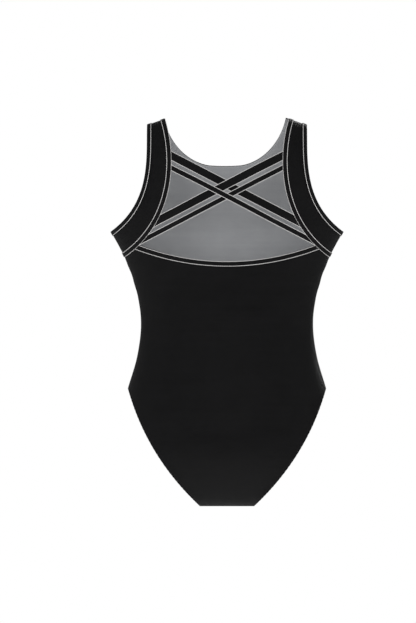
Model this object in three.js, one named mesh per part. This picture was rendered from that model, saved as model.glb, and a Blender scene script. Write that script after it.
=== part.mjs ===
/*
 * Open-back gymnastics leotard in its worn shape, cut and sewn from separate pieces.
 *
 * Millimetres, +Z up, +X to the wearer's right, +Y to the wearer's front. The origin is midway
 * between the two high shoulder points, and every height in this file is a drop below it.
 *
 * Each piece of cloth is a thin closed shell that follows one smooth torso form. The shells are
 * stacked by their distance from that form: outer cloth, elastic, lining, with the bindings
 * folded round all three.
 */
import * as THREE from "three";

// ---- Body sizes: half widths across, drops below the high shoulder point ----
const neckHalfWidth = 99;
const shoulderStrapWidth = 29;
const shoulderFall = 10;
const underarmHalfWidth = 185.5;
const underarmDrop = 179.5;
const waistHalfWidth = 137.3;
const waistDrop = 322;
const hipHalfWidth = 158.4;
const hipDrop = 432;
const thighHalfWidth = 178;
const crotchHalfWidth = 44;
const bodyLength = 619;

// ---- Depths from the side seam to the middle of the front and of the back ----
const chestDepth = 104;
const bellyDepth = 74;
const abdomenDepth = 82;
const shoulderBladeDepth = 92;
const loinDepth = 62;
const seatDepth = 112;
const shoulderDepth = 60;
const crotchDepth = 58;
const roundness = 2.2; // exponent of the torso's cross-section, 2 is an ellipse
const shoulderRound = 120; // drop over which the shoulders reach their full depth

// ---- Necklines and straps ----
const frontNeckInset = 1.4; // the front neckline is this much narrower than the back at the shoulder
const frontNeckDrop = 75.6;
const frontNeckFlat = 13.5; // half width of the level bottom of the front neckline
const frontNeckShift = -3.1; // the front hangs a little to the wearer's left
const frontNeckLean = 0.253; // how far the front neckline leans outwards at the shoulder, in radians
const bandSideWidth = 41.5; // the back band's width where it meets the side seam
const scoopCornerRise = 19.4; // height of the scoop's corners above the band's foot
const scoopSag = 26.4; // depth of the scoop below its corners
const strapAngle = THREE.MathUtils.degToRad(27.4);
const wideStrapWidth = 12.6;
const narrowStrapWidth = 7.8;
const strapSpacing = 6.8; // clear distance between the two straps of a pair
const strapCloth = 0.35; // thickness of the cloth folded round a strap's elastic
const strapSlit = 0.8; // between the strap's two cut edges, on the body side

// ---- Cloth, elastic and trims ----
const clothThickness = 0.5;
const elasticThickness = 0.5;
const elasticWidth = 6.2;
const elasticEnd = 3; // an open run of elastic ends this far inside the cloth
const bindingThickness = 0.4;
const bindingWidth = 8;
const threadWidth = 0.9;
const threadThickness = 0.3;
const threadInset = 7.1; // from the finished edge to the middle of the row of stitches
const seamWidth = 4.5;
const seamThickness = 0.6;
const gussetRise = 62; // height of the gusset lining above the crotch seam

// ---- Number of divisions: rows run down the body, columns across it ----
const hemColumn = 11; // a sheet's first column lies this far inside its edge
const stripColumns = 4; // across a band or a front strap, hems included
const bandStations = 18;
const strapRows = 6;
const neckColumns = 4; // of the front neckline on either side, between strap and middle
const scoopColumns = 12;
const chestRowCount = 8;
const frontRowCount = 13;
const backRowCount = 12;
const crotchRowCount = 9;
const crotchCrowding = 1.35; // draws the crotch rows together towards the crotch
const sideColumns = 8;
const sideSeamStations = 12;
const strapRings = 28;

// ---- Clearances ----
const layerGap = 0.6; // air between two stacked layers
const jointGap = 0.25; // each piece stops this far from the seam line it shares
const buttGap = 0.5; // between the end of a piece and the edge it is sewn to
const strapStep = 0.4; // air between two straps where they cross
const strapSlack = 0.4; // air between the elastic and the tube of cloth round it
const strapEndGap = 0.8; // between a strap's end and the band's finished edge
const scoopEndGap = 1; // between the scoop's ends and the bands' finished edges

const FRONT = 1;
const BACK = -1;
const LEFT = -1;
const RIGHT = 1;
const mix = THREE.MathUtils.lerp;

// Distances from the torso form at which each layer lies: [inner face, outer face].
const clothLayer = [0, clothThickness];
const elasticLayer = [-layerGap - elasticThickness, -layerGap];
const liningLayer = [elasticLayer[0] - layerGap - clothThickness, elasticLayer[0] - layerGap];
const innerWrap = liningLayer[0] - layerGap;
const outerWrap = clothLayer[1] + layerGap;
const seamLayer = [innerWrap - jointGap - seamThickness, innerWrap - jointGap];
const gussetLayer = [seamLayer[0] - layerGap - clothThickness, seamLayer[0] - layerGap];
const edgeWrap = bindingThickness + layerGap; // from the cloth's cut edge out to the finished edge

// ---- The torso form ----

/** A smooth function through [position, value] knots. */
function smooth(knots) {
  const slope = knots.map((knot, i) => {
    const last = knots[Math.max(i - 1, 0)];
    const next = knots[Math.min(i + 1, knots.length - 1)];
    const chord = (a, b) => (b[1] - a[1]) / (b[0] - a[0]);
    if (last === knot || next === knot) return chord(last, next);
    return mix(chord(last, knot), chord(knot, next), (knot[0] - last[0]) / (next[0] - last[0]));
  });
  return (at) => {
    const found = knots.findIndex((knot) => knot[0] >= at);
    const i = THREE.MathUtils.clamp(found < 0 ? knots.length : found, 1, knots.length - 1) - 1;
    const length = knots[i + 1][0] - knots[i][0];
    const u = THREE.MathUtils.clamp((at - knots[i][0]) / length, 0, 1);
    const bend = (1 - u) * slope[i] - u * slope[i + 1];
    return mix(knots[i][1], knots[i + 1][1], u * u * (3 - 2 * u)) + length * u * (1 - u) * bend;
  };
}

const shoulderHalfWidth = neckHalfWidth + shoulderStrapWidth;
const shoulderSlope = shoulderFall / shoulderStrapWidth;
const seatDrop = mix(hipDrop, bodyLength, 0.41);
const crotchRound = mix(0, bodyLength - hipDrop, 0.67); // rise to the crotch's full depth

const halfWidth = smooth([
  [0, underarmHalfWidth + 22],
  [underarmDrop - 80, underarmHalfWidth + 21],
  [underarmDrop - 30, underarmHalfWidth + 14],
  [underarmDrop, underarmHalfWidth],
  [mix(underarmDrop, waistDrop, 0.23), mix(waistHalfWidth, underarmHalfWidth, 0.63)],
  [mix(underarmDrop, waistDrop, 0.5), mix(waistHalfWidth, underarmHalfWidth, 0.3)],
  [waistDrop, waistHalfWidth],
  [mix(waistDrop, hipDrop, 0.53), mix(waistHalfWidth, hipHalfWidth, 0.29)],
  [hipDrop, hipHalfWidth],
  [seatDrop, thighHalfWidth],
  [bodyLength, thighHalfWidth],
]);

const frontDepth = smooth([
  [0, shoulderDepth],
  [underarmDrop * 0.45, mix(shoulderDepth, chestDepth, 0.5)],
  [underarmDrop, chestDepth],
  [mix(underarmDrop, waistDrop, 0.45), mix(bellyDepth, chestDepth, 0.62)],
  [waistDrop, bellyDepth],
  [hipDrop, abdomenDepth],
  [seatDrop, mix(crotchDepth, abdomenDepth, 0.75)],
  [bodyLength, crotchDepth * 0.8],
]);

const backDepth = smooth([
  [0, shoulderDepth],
  [underarmDrop * 0.4, mix(shoulderDepth, shoulderBladeDepth, 0.6)],
  [underarmDrop * 0.85, shoulderBladeDepth],
  [mix(underarmDrop, waistDrop, 0.45), mix(loinDepth, shoulderBladeDepth, 0.6)],
  [waistDrop, loinDepth],
  [hipDrop, mix(loinDepth, seatDepth, 0.65)],
  [seatDrop, seatDepth],
  [bodyLength, crotchDepth],
]);

const depth = (face, z) => (face === FRONT ? frontDepth(-z) : backDepth(-z));

/** Height of the shoulder line, which falls outwards from the high shoulder points. */
const shoulderLine = (x) => shoulderSlope * (neckHalfWidth - Math.abs(x));

/** A half round end: 0 at the end, 1 from one radius on. */
const closing = (t) => 1 - (1 - Math.min(t, 1)) ** 2;

/** How far the form stands out of the seam plane at (x, z): 0 on its rim, 1 in the middle. */
function fullness(x, z) {
  const side = 1 - Math.abs(x / halfWidth(-z)) ** roundness;
  const top = closing((shoulderLine(x) - z) / shoulderRound);
  return side * top * closing((z + bodyLength) / crotchRound);
}

/** A spot of the torso form, in front of or behind (x, z): its point and outward normal. */
function skin(face, x, z) {
  const y = face * depth(face, z) * Math.max(fullness(x, z), 0) ** (1 / roundness);
  const level = (px, py, pz) => Math.abs(py / depth(face, pz)) ** roundness - fullness(px, pz);
  const step = 0.4;
  const normal = new THREE.Vector3(
    level(x + step, y, z) - level(x - step, y, z),
    level(x, y + step, z) - level(x, y - step, z),
    level(x, y, z + step) - level(x, y, z - step),
  ).normalize();
  const point = new THREE.Vector3(x, face * Math.max(Math.abs(y), jointGap), z);
  return { point, normal };
}

/** The angle round the form at which it is x wide at height z: a quarter turn at its side. */
const angleAt = (x, z) => Math.asin(Math.min(1, Math.abs(x) / halfWidth(-z)) ** (roundness / 2));

/** The half width of the form at that angle and height. */
const widthAt = (angle, z) => halfWidth(-z) * Math.sin(angle) ** (2 / roundness);

// ---- Cut edges of the cloth, in the seam plane, on the wearer's right ----

/** A cubic Bezier whose inner two points are shares of the way across and down. */
function edgeCurve(start, end, [across1, down1], [across2, down2]) {
  const at = (across, down) => new THREE.Vector2(mix(start.x, end.x, across), mix(start.y, end.y, down));
  return new THREE.CubicBezierCurve(start, at(across1, down1), at(across2, down2), end);
}
const onShoulder = (x) => new THREE.Vector2(x, shoulderLine(x));
const onSide = (z) => new THREE.Vector2(halfWidth(-z), z);
const atCrotch = new THREE.Vector2(crotchHalfWidth - edgeWrap, -bodyLength);

const armholeTop = onShoulder(shoulderHalfWidth - edgeWrap);
const armholeFoot = onSide(-underarmDrop - edgeWrap);
const backArmholeCut = edgeCurve(armholeTop, armholeFoot, [0.035, 0.285], [-0.15, 0.713]);
const frontArmholeCut = edgeCurve(armholeTop, armholeFoot, [-0.05, 0.285], [-0.29, 0.74]);
const bandTop = onShoulder(neckHalfWidth + edgeWrap);
const bandFootDrop = underarmDrop + bandSideWidth;
const bandFoot = onSide(-bandFootDrop + edgeWrap);
const bandCut = edgeCurve(bandTop, bandFoot, [-0.296, 0.272], [-0.28, 0.74]);
const legTop = onSide(-hipDrop + edgeWrap);
const backLegCut = edgeCurve(legTop, atCrotch, [0.19, 0.412], [0.535, 0.732]);
const frontLegCut = edgeCurve(legTop, atCrotch, [0.3, 0.36], [0.66, 0.71]);

/** The width of a cut edge at a height. */
function edgeWidth(curve, z) {
  let [above, below] = [0, 1];
  for (let i = 0; i < 40; i++) {
    const middle = (above + below) / 2;
    if (curve.getPoint(middle).y > z) above = middle;
    else below = middle;
  }
  return curve.getPoint(below).x;
}

const frontNeckHalfWidth = neckHalfWidth - frontNeckInset;
const flatShare = 1 / 9; // the last share of the front neckline, which crosses its level bottom

/** The front neckline on one side, from its strap (0) to its lowest point (1). */
function frontNeck(side, t) {
  const angle = mix(frontNeckLean, Math.PI / 2, t);
  const [far, high] = [Math.cos(frontNeckLean), Math.sin(frontNeckLean)];
  const flat = frontNeckFlat * Math.min(1, (1 - t) / flatShare);
  const reach = flat + ((frontNeckHalfWidth - frontNeckFlat) * Math.cos(angle)) / far;
  const x = frontNeckShift + side * reach;
  const top = shoulderLine(frontNeckShift + side * frontNeckHalfWidth);
  return new THREE.Vector2(x, mix(top, -frontNeckDrop, (Math.sin(angle) - high) / (1 - high)));
}

// The back scoop is an arc that sags between its two corners on the bands.
const scoopCornerDrop = bandFootDrop - scoopCornerRise;
const scoopHalfWidth = edgeWidth(bandCut, -scoopCornerDrop);
const scoopRadius = (scoopHalfWidth ** 2 + scoopSag ** 2) / (2 * scoopSag);

/** The scoop's cut edge, x out from the middle. */
function scoopCut(x) {
  const lowest = -scoopCornerDrop - scoopSag - edgeWrap;
  return new THREE.Vector2(x, lowest + scoopRadius - Math.sqrt(scoopRadius ** 2 - x ** 2));
}

// ---- Spacing ----

const steps = (count) => Array.from({ length: count + 1 }, (_, i) => i / count);

/**
 * Shares of a path whose points are evenly spaced over the form; path(t) is a point in the seam
 * plane. A crowding above 1 draws the points together towards the path's end.
 */
function spaced(face, path, count, crowding = 1) {
  const fine = steps(600).map((t) => (1 - Math.cos(Math.PI * t)) / 2);
  const points = fine.map((t) => skin(face, path(t).x, path(t).y).point);
  const run = [0];
  for (let i = 1; i < points.length; i++) run.push(run[i - 1] + points[i].distanceTo(points[i - 1]));
  return steps(count).map((step) => {
    if (step === 1) return 1;
    const length = (1 - (1 - step) ** crowding) * run[run.length - 1];
    const i = Math.max(1, run.findIndex((far) => far > length));
    return mix(fine[i - 1], fine[i], (length - run[i - 1]) / (run[i] - run[i - 1]));
  });
}

// ---- Sheets: points and triangles on the form, thickened into closed shells ----

class Sheet {
  constructor() {
    this.spots = [];
    this.triangles = [];
    this.index = new Map();
  }

  spot({ point, normal }) {
    const key = [point.x, point.y, point.z].map((v) => Math.round(v * 100)).join();
    if (!this.index.has(key)) {
      this.index.set(key, this.spots.length);
      this.spots.push({ point, normal });
    }
    return this.index.get(key);
  }

  /** Adds a grid of spots, given row by row, its triangles turned to face outwards. */
  grid(rows) {
    const ids = rows.map((row) => row.map((s) => this.spot(s)));
    const added = [];
    for (let j = 0; j + 1 < ids.length; j++) {
      for (let i = 0; i + 1 < ids[j].length; i++) {
        const [a, b, c, d] = [ids[j][i], ids[j][i + 1], ids[j + 1][i + 1], ids[j + 1][i]];
        if (2 * i < ids[j].length - 1) added.push([a, d, b], [b, d, c]);
        else added.push([a, d, c], [a, c, b]);
      }
    }
    const whole = added.filter((t) => new Set(t).size === 3);
    const turn = whole.reduce((sum, t) => sum + this.facing(t), 0) < 0;
    this.triangles.push(...whole.map(([a, b, c]) => (turn ? [a, c, b] : [a, b, c])));
    return this;
  }

  /** Positive where a triangle's own direction agrees with the form's outward normal. */
  facing([a, b, c]) {
    const [pa, pb, pc] = [a, b, c].map((i) => this.spots[i].point);
    return pb.clone().sub(pa).cross(pc.clone().sub(pa)).dot(this.spots[a].normal);
  }

  /** A closed shell between two distances from the form. */
  shell([inner, outer]) {
    const at = (offset) =>
      this.spots.map(({ point, normal }) => point.clone().addScaledVector(normal, offset));
    const n = this.spots.length;
    const faces = [];
    const rim = new Map();
    for (const [a, b, c] of this.triangles) {
      faces.push(a, b, c, a + n, c + n, b + n);
      for (const [p, q] of [[a, b], [b, c], [c, a]]) {
        if (!rim.delete(q + "," + p)) rim.set(p + "," + q, [p, q]);
      }
    }
    for (const [p, q] of rim.values()) faces.push(p, p + n, q, q, p + n, q + n);
    return solid([...at(outer), ...at(inner)], faces);
  }
}

function solid(points, faces) {
  const made = new THREE.BufferGeometry();
  made.setAttribute("position", new THREE.Float32BufferAttribute(points.flatMap((p) => p.toArray()), 3));
  made.setIndex(faces);
  made.computeVertexNormals();
  return made;
}

// ---- Trims: a flat profile carried along an edge of the cloth ----

/** Stations along a run of [edge spot, neighbouring spot inside the cloth] pairs. */
function stations(run, closed = false) {
  const count = run.length;
  return run.map(([{ point, normal }, inside], i) => {
    const before = run[closed ? (i + count - 1) % count : Math.max(i - 1, 0)][0].point;
    const after = run[closed ? (i + 1) % count : Math.min(i + 1, count - 1)][0].point;
    const along = after.clone().sub(before).normalize();
    const across = inside.point.clone().sub(point);
    const inward = across.addScaledVector(along, -across.dot(along)).normalize();
    const out = along.clone().cross(inward);
    return { point, inward, normal: out.multiplyScalar(Math.sign(out.dot(normal))) };
  });
}

/** The same stations with the first and the last moved in along the run. */
function shortened(along, by) {
  const moved = (end, next) => {
    const share = by / end.point.distanceTo(next.point);
    return { ...end, point: end.point.clone().lerp(next.point, share) };
  };
  return [moved(along[0], along[1]), ...along.slice(1, -1), moved(along.at(-1), along.at(-2))];
}

/** A solid through rings of points that all go round the same outline. */
function loft(rings, outline, closed = false) {
  const size = outline.length;
  const faces = [];
  for (let i = 0; i < (closed ? rings.length : rings.length - 1); i++) {
    const next = (i + 1) % rings.length;
    for (let k = 0; k < size; k++) {
      const j = (k + 1) % size;
      faces.push(i * size + k, i * size + j, next * size + j);
      faces.push(i * size + k, next * size + j, next * size + k);
    }
  }
  if (!closed) {
    const flat = outline.map(([u, v]) => new THREE.Vector2(u, v));
    const clockwise = THREE.ShapeUtils.isClockWise(flat);
    const last = (rings.length - 1) * size;
    for (const [a, b, c] of THREE.ShapeUtils.triangulateShape(flat, [])) {
      if (clockwise) faces.push(a, b, c, last + a, last + c, last + b);
      else faces.push(a, c, b, last + a, last + b, last + c);
    }
  }
  return facingOut(rings.flat(), faces);
}

/** The solid with its faces turned outwards, whichever way round they were given. */
function facingOut(points, faces) {
  let volume = 0;
  for (let i = 0; i < faces.length; i += 3) {
    const [a, b, c] = [0, 1, 2].map((k) => points[faces[i + k]]);
    volume += a.dot(b.clone().cross(c));
  }
  const turned = faces.map((_, i) => faces[i - (i % 3) + [0, 2, 1][i % 3]]);
  return solid(points, volume < 0 ? turned : faces);
}

/** Carries an outline of [inward, outward] distances along the stations. */
function sweep(along, outline, closed = false) {
  const rings = along.map(({ point, normal, inward }) =>
    outline.map(([across, out]) =>
      point.clone().addScaledVector(inward, across).addScaledVector(normal, out),
    ),
  );
  return loft(rings, outline, closed);
}

const flatOutline = (from, to, [inner, outer]) => [[from, inner], [to, inner], [to, outer], [from, outer]];

// Outlines start from the cloth's cut edge; the finished edge lies edgeWrap beyond it.
const bindingReach = bindingWidth - edgeWrap;
const bindingInside = [innerWrap - bindingThickness, innerWrap];
const bindingOutside = [outerWrap, outerWrap + bindingThickness];
const bindingOutline = [
  [-edgeWrap, bindingInside[0]],
  [bindingReach, bindingInside[0]],
  [bindingReach, bindingInside[1]],
  [-layerGap, bindingInside[1]],
  [-layerGap, bindingOutside[0]],
  [bindingReach, bindingOutside[0]],
  [bindingReach, bindingOutside[1]],
  [-edgeWrap, bindingOutside[1]],
];
const facingOutline = [
  [-edgeWrap, bindingInside[0]],
  [bindingReach, bindingInside[0]],
  [bindingReach, bindingInside[1]],
  [-layerGap, bindingInside[1]],
  [-layerGap, clothLayer[1]],
  [-edgeWrap, clothLayer[1]],
];
const elasticOutline = flatOutline(jointGap, jointGap + elasticWidth, elasticLayer);
const threadStart = threadInset - edgeWrap - threadWidth / 2;
const threadFloor = bindingOutside[1] + layerGap;
const threadOutline = flatOutline(threadStart, threadStart + threadWidth, [
  threadFloor,
  threadFloor + threadThickness,
]);

// ---- The bands that frame the open back ----

/** Spots from one edge to the other, with a column a hem's width inside each. */
function acrossStrip(face, outer, inner) {
  const hem = Math.min(hemColumn / outer.distanceTo(inner), 1 / 3);
  const inside = steps(stripColumns - 2).map((t) => mix(hem, 1 - hem, t));
  return [0, ...inside, 1].map((share) => {
    const at = outer.clone().lerp(inner, share);
    return skin(face, at.x, at.y);
  });
}

const armholeShares = spaced(BACK, (t) => backArmholeCut.getPoint(t), bandStations);
const bandShares = spaced(BACK, (t) => bandCut.getPoint(t), bandStations);
const bandRows = armholeShares.map((t, i) =>
  acrossStrip(BACK, backArmholeCut.getPoint(t), bandCut.getPoint(bandShares[i])),
);
const bandArmholeRun = bandRows.map((row) => [row[0], row[1]]);
const bandInnerRun = bandRows.map((row) => [row.at(-1), row.at(-2)]);

/** The finished inner edge of the right band, seen in the seam plane. */
const bandFold = stations(bandInnerRun).map(({ point, inward }) => {
  const fold = point.clone().addScaledVector(inward, -edgeWrap);
  return new THREE.Vector2(fold.x, fold.z);
});

/** How far a point of the seam plane lies from the band's finished edge, negative inside the band. */
function clearOfBand(at) {
  let nearest = Infinity;
  for (let i = 0; i + 1 < bandFold.length; i++) {
    const along = bandFold[i + 1].clone().sub(bandFold[i]);
    const share = THREE.MathUtils.clamp(at.clone().sub(bandFold[i]).dot(along) / along.lengthSq(), 0, 1);
    const away = at.clone().sub(bandFold[i].clone().addScaledVector(along, share));
    const side = Math.sign(along.x * away.y - along.y * away.x) || 1;
    if (away.length() < Math.abs(nearest)) nearest = -side * away.length();
  }
  return nearest;
}

/** How far along a path, from 0 to 1, a point can go before it is within a gap of the band. */
function reachBand(path, gap) {
  let [clear, met] = [0, 1];
  for (let i = 0; i < 30; i++) {
    const middle = (clear + met) / 2;
    if (clearOfBand(path(middle)) > gap) clear = middle;
    else met = middle;
  }
  return path(clear);
}

// ---- The front and back panels ----

// The front is one piece from armhole to armhole below this share of its neckline.
const strapNeckShare = 0.41;

/** The front's own shoulder strap on one side, from the shoulder seam down to the chest. */
function frontStrap(side) {
  const neckShares = spaced(FRONT, (t) => frontNeck(side, t * strapNeckShare), strapRows);
  return neckShares.map((t, row) => {
    const neck = frontNeck(side, t * strapNeckShare);
    const z = mix(armholeTop.y, frontNeck(side, strapNeckShare).y, (row / strapRows) ** 2);
    const width = row === 0 ? armholeTop.x : edgeWidth(frontArmholeCut, z);
    return acrossStrip(FRONT, new THREE.Vector2(side * width, z), neck);
  });
}

/** The angle round the form from the centre line to a cut edge, at a height. */
const edgeAngle = (curve, z) => angleAt(edgeWidth(curve, z), z);

/** A spot that lies at an angle round the form, left or right of its centre line. */
const spotAt = (face, angle, z) => skin(face, Math.sign(angle) * widthAt(Math.abs(angle), z), z);

/** The angle and height of a point of the seam plane. */
const placeOf = ({ x, y }) => ({ angle: Math.sign(x) * angleAt(x, y), z: y });

/**
 * Rows between two cut edges, from a top row down to a level. Each column keeps its share of the
 * way from the centre line to the edge.
 */
function edgedRows(face, curve, top, bottom, count, crowding) {
  const shares = top.map(({ x, y }) => (Math.sign(x) * angleAt(x, y)) / edgeAngle(curve, y));
  const heights = (across) =>
    spaced(
      face,
      (t) => {
        const z = mix(top[0].y, bottom, t);
        return new THREE.Vector2(across * widthAt(edgeAngle(curve, z), z), z);
      },
      count,
      crowding,
    );
  const [edge, centre] = [heights(1), heights(0)];
  return edge.map((_, j) =>
    top.map(({ x, y }, i) => {
      if (j === 0) return skin(face, x, y);
      const z = mix(y, bottom, mix(centre[j], edge[j], shares[i] ** 2));
      return spotAt(face, shares[i] * edgeAngle(curve, z), z);
    }),
  );
}

/** Rows that lead every column straight from a point of the top row to one of the bottom row. */
function plainRows(face, top, bottom, count) {
  return steps(count).map((t) =>
    top.map((from, i) => {
      if (t === 0) return skin(face, from.x, from.y);
      if (t === 1) return skin(face, bottom[i].x, bottom[i].y);
      const [a, b] = [placeOf(from), placeOf(bottom[i])];
      return spotAt(face, mix(a.angle, b.angle, t), mix(a.z, b.z, t));
    }),
  );
}

const inPlane = (row) => row.map(({ point }) => new THREE.Vector2(point.x, point.z));
const flipped = (points) => points.map(({ x, y }) => new THREE.Vector2(-x, y)).reverse();

/** Points of a cut edge between two heights, evenly spaced, on the wearer's right. */
function edgePoints(face, curve, from, to, count) {
  const path = (t) => {
    const z = mix(from, to, t);
    return new THREE.Vector2(edgeWidth(curve, z), z);
  };
  return spaced(face, path, count).map(path);
}

/** Places shares of a half turn apart, on a level line between the two cut edges. */
function levelPoints(curve, z, shares) {
  const angle = edgeAngle(curve, z);
  return shares.map((share) => {
    const x = Math.sign(share) * widthAt(Math.abs(share) * angle, z);
    return new THREE.Vector2(x, z);
  });
}

// Above the chest's foot the armhole runs steeply, and so does the leg line below the thigh's top.
// Between them, the side columns start from the armhole or the band and end at the leg line.
const chestFoot = mix(shoulderFall, underarmDrop, 0.77);
const thighTop = mix(hipDrop, bodyLength, 0.34);

/** The lower half of a panel: its last rows, ending in the leg line and the crotch seam. */
function bottomOf(face, curve, shares) {
  const level = levelPoints(curve, -thighTop, shares);
  const legLine = edgePoints(face, curve, -thighTop, legTop.y, sideColumns).slice(1);
  legLine[legLine.length - 1] = legTop.clone();
  const rows = edgedRows(face, curve, level, -bodyLength, crotchRowCount, crotchCrowding);
  return { rows, row: [...flipped(legLine), ...level, ...legLine] };
}

// Front: two straps, the chest between the armholes, the trunk, the crotch.
const straps = { [LEFT]: frontStrap(LEFT), [RIGHT]: frontStrap(RIGHT) };
const neckShares = steps(neckColumns).map((t) => mix(strapNeckShare, 1, t)).slice(1);
const chestTop = [
  ...inPlane(straps[LEFT].at(-1)),
  ...neckShares.map((t) => frontNeck(LEFT, t)),
  ...neckShares.slice(0, -1).reverse().map((t) => frontNeck(RIGHT, t)),
  ...inPlane(straps[RIGHT].at(-1)).reverse(),
];
const chestRows = edgedRows(FRONT, frontArmholeCut, chestTop, -chestFoot, chestRowCount);
const underarm = edgePoints(FRONT, frontArmholeCut, -chestFoot, armholeFoot.y, sideColumns).slice(1);
underarm[underarm.length - 1] = armholeFoot.clone();
const frontTrunkTop = [...flipped(underarm), ...inPlane(chestRows.at(-1)), ...underarm];
const evenly = (count) => steps(count - 1).map((t) => 2 * t - 1);
const frontBottom = bottomOf(FRONT, frontLegCut, evenly(chestTop.length));
const frontTrunkRows = plainRows(FRONT, frontTrunkTop, frontBottom.row, frontRowCount);

// Back: the trunk, which starts at the scoop and the bands' feet, and the crotch.
const scoopEnd = reachBand((t) => scoopCut(t * halfWidth(scoopCornerDrop)), scoopEndGap);
const scoopPoints = steps(scoopColumns).map((t) => scoopCut(mix(-scoopEnd.x, scoopEnd.x, t)));
const bandFootEnd = onSide(bandFold.at(-1).y - buttGap);
const bandFootPoints = steps(sideColumns)
  .slice(1)
  .map((t) => {
    if (t === 1) return bandFootEnd;
    const near = scoopEnd.clone().lerp(bandFootEnd, t);
    const away = new THREE.Vector2(bindingWidth, 2 * bindingWidth);
    return reachBand((u) => near.clone().addScaledVector(away, u - 0.5), buttGap);
  });
const backBottom = bottomOf(BACK, backLegCut, evenly(scoopPoints.length));
const backTrunkTop = [...flipped(bandFootPoints), ...scoopPoints, ...bandFootPoints];
const backTrunkRows = plainRows(BACK, backTrunkTop, backBottom.row, backRowCount);

// ---- Runs of spots along the edges, from the wearer's left to right or from the back round ----

const mirrorSpot = ({ point, normal }) => ({
  point: new THREE.Vector3(-point.x, point.y, point.z),
  normal: new THREE.Vector3(-normal.x, normal.y, normal.z),
});

/** Rows or runs made for the right side, carried over to either side. */
const onThe = (side, rows) => (side === RIGHT ? rows : rows.map((row) => row.map(mirrorSpot)));

const between = (a, b) => ({
  point: a.point.clone().add(b.point).multiplyScalar(0.5),
  normal: a.normal.clone().add(b.normal).normalize(),
});
const join = ([a, insideA], [b, insideB]) => [between(a, b), between(insideA, insideB)];

/** Joins two runs that share an end spot, where the cloth lies inside both. */
const chain = (first, second) => [...first.slice(0, -1), join(first.at(-1), second[0]), ...second.slice(1)];

/** Joins a run on the back and one on the front that meet across a seam at both ends. */
const loop = (back, front) => [
  join(back[0], front[0]),
  ...back.slice(1, -1),
  join(back.at(-1), front.at(-1)),
  ...front.slice(1, -1).reverse(),
];

/** The run down one side of a block of rows. */
const sideRun = (rows, side) =>
  rows.map((row) => (side === LEFT ? [row[0], row[1]] : [row.at(-1), row.at(-2)]));

/** The outermost columns of a row and the row inside it, in order towards the seam. */
function cornerRun(edgeRow, insideRow, side) {
  const pairs = edgeRow.map((spot, i) => [spot, insideRow[i]]);
  return side === LEFT ? pairs.slice(0, sideColumns + 1).reverse() : pairs.slice(-sideColumns - 1);
}

function armholeRun(side) {
  const upper = sideRun(side === LEFT ? straps[LEFT] : straps[RIGHT], LEFT);
  const chest = sideRun(chestRows, side);
  const lower = cornerRun(frontTrunkRows[0], frontTrunkRows[1], side);
  return stations(loop(onThe(side, bandArmholeRun), chain(chain(upper, chest), lower)), true);
}

function legRun(side) {
  const half = (trunk, crotch) =>
    chain(cornerRun(trunk.at(-1), trunk.at(-2), side).reverse(), sideRun(crotch, side));
  return stations(loop(half(backTrunkRows, backBottom.rows), half(frontTrunkRows, frontBottom.rows)), true);
}

const neckMiddle = chestRows[0]
  .map((spot, i) => [spot, chestRows[1][i]])
  .slice(stripColumns, -stripColumns);
const neckRun = stations(
  chain(
    chain(sideRun(straps[LEFT], RIGHT), neckMiddle),
    sideRun(straps[RIGHT], RIGHT).reverse(),
  ),
);
const scoopRun = stations(
  backTrunkRows[0].map((spot, i) => [spot, backTrunkRows[1][i]]).slice(sideColumns, -sideColumns),
);

// ---- The crossed straps ----

const strapHalf = elasticThickness / 2 + strapSlack + strapCloth;
const strapLevel = 2 * strapHalf + strapStep;
const strapFall = new THREE.Vector2(Math.cos(strapAngle), -Math.sin(strapAngle));
const strapRise = new THREE.Vector2(Math.cos(strapAngle), Math.sin(strapAngle));
const strapUp = new THREE.Vector2(Math.sin(strapAngle), Math.cos(strapAngle));

// The narrow strap ends just above the corner where the scoop meets the band.
const narrowLine = scoopEnd.dot(strapUp) + edgeWrap + buttGap + narrowStrapWidth / 2;
const wideLine = narrowLine + (narrowStrapWidth + wideStrapWidth) / 2 + strapSpacing;

// Within crossingReach of the middle a strap keeps its level, and by rampEnd it is down on the form.
const crossingReach = (wideLine - narrowLine) / Math.sin(2 * strapAngle) + 1.3 * wideStrapWidth;
const rampEnd = 2.3 * crossingReach;

/** A strip folded round its elastic, its two cut edges meeting on the body side. */
function strapOutline(width) {
  const half = width / 2;
  const inside = half - strapCloth;
  const slit = strapSlit / 2;
  return [
    [-slit, -strapHalf],
    [-half, -strapHalf],
    [-half, strapHalf],
    [half, strapHalf],
    [half, -strapHalf],
    [slit, -strapHalf],
    [slit, strapCloth - strapHalf],
    [inside, strapCloth - strapHalf],
    [inside, strapHalf - strapCloth],
    [-inside, strapHalf - strapCloth],
    [-inside, strapCloth - strapHalf],
    [-slit, strapCloth - strapHalf],
  ];
}

const strapElasticOutline = (width) => {
  const half = width / 2 - strapCloth - strapSlack;
  return flatOutline(-half, half, [-elasticThickness / 2, elasticThickness / 2]);
};

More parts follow.
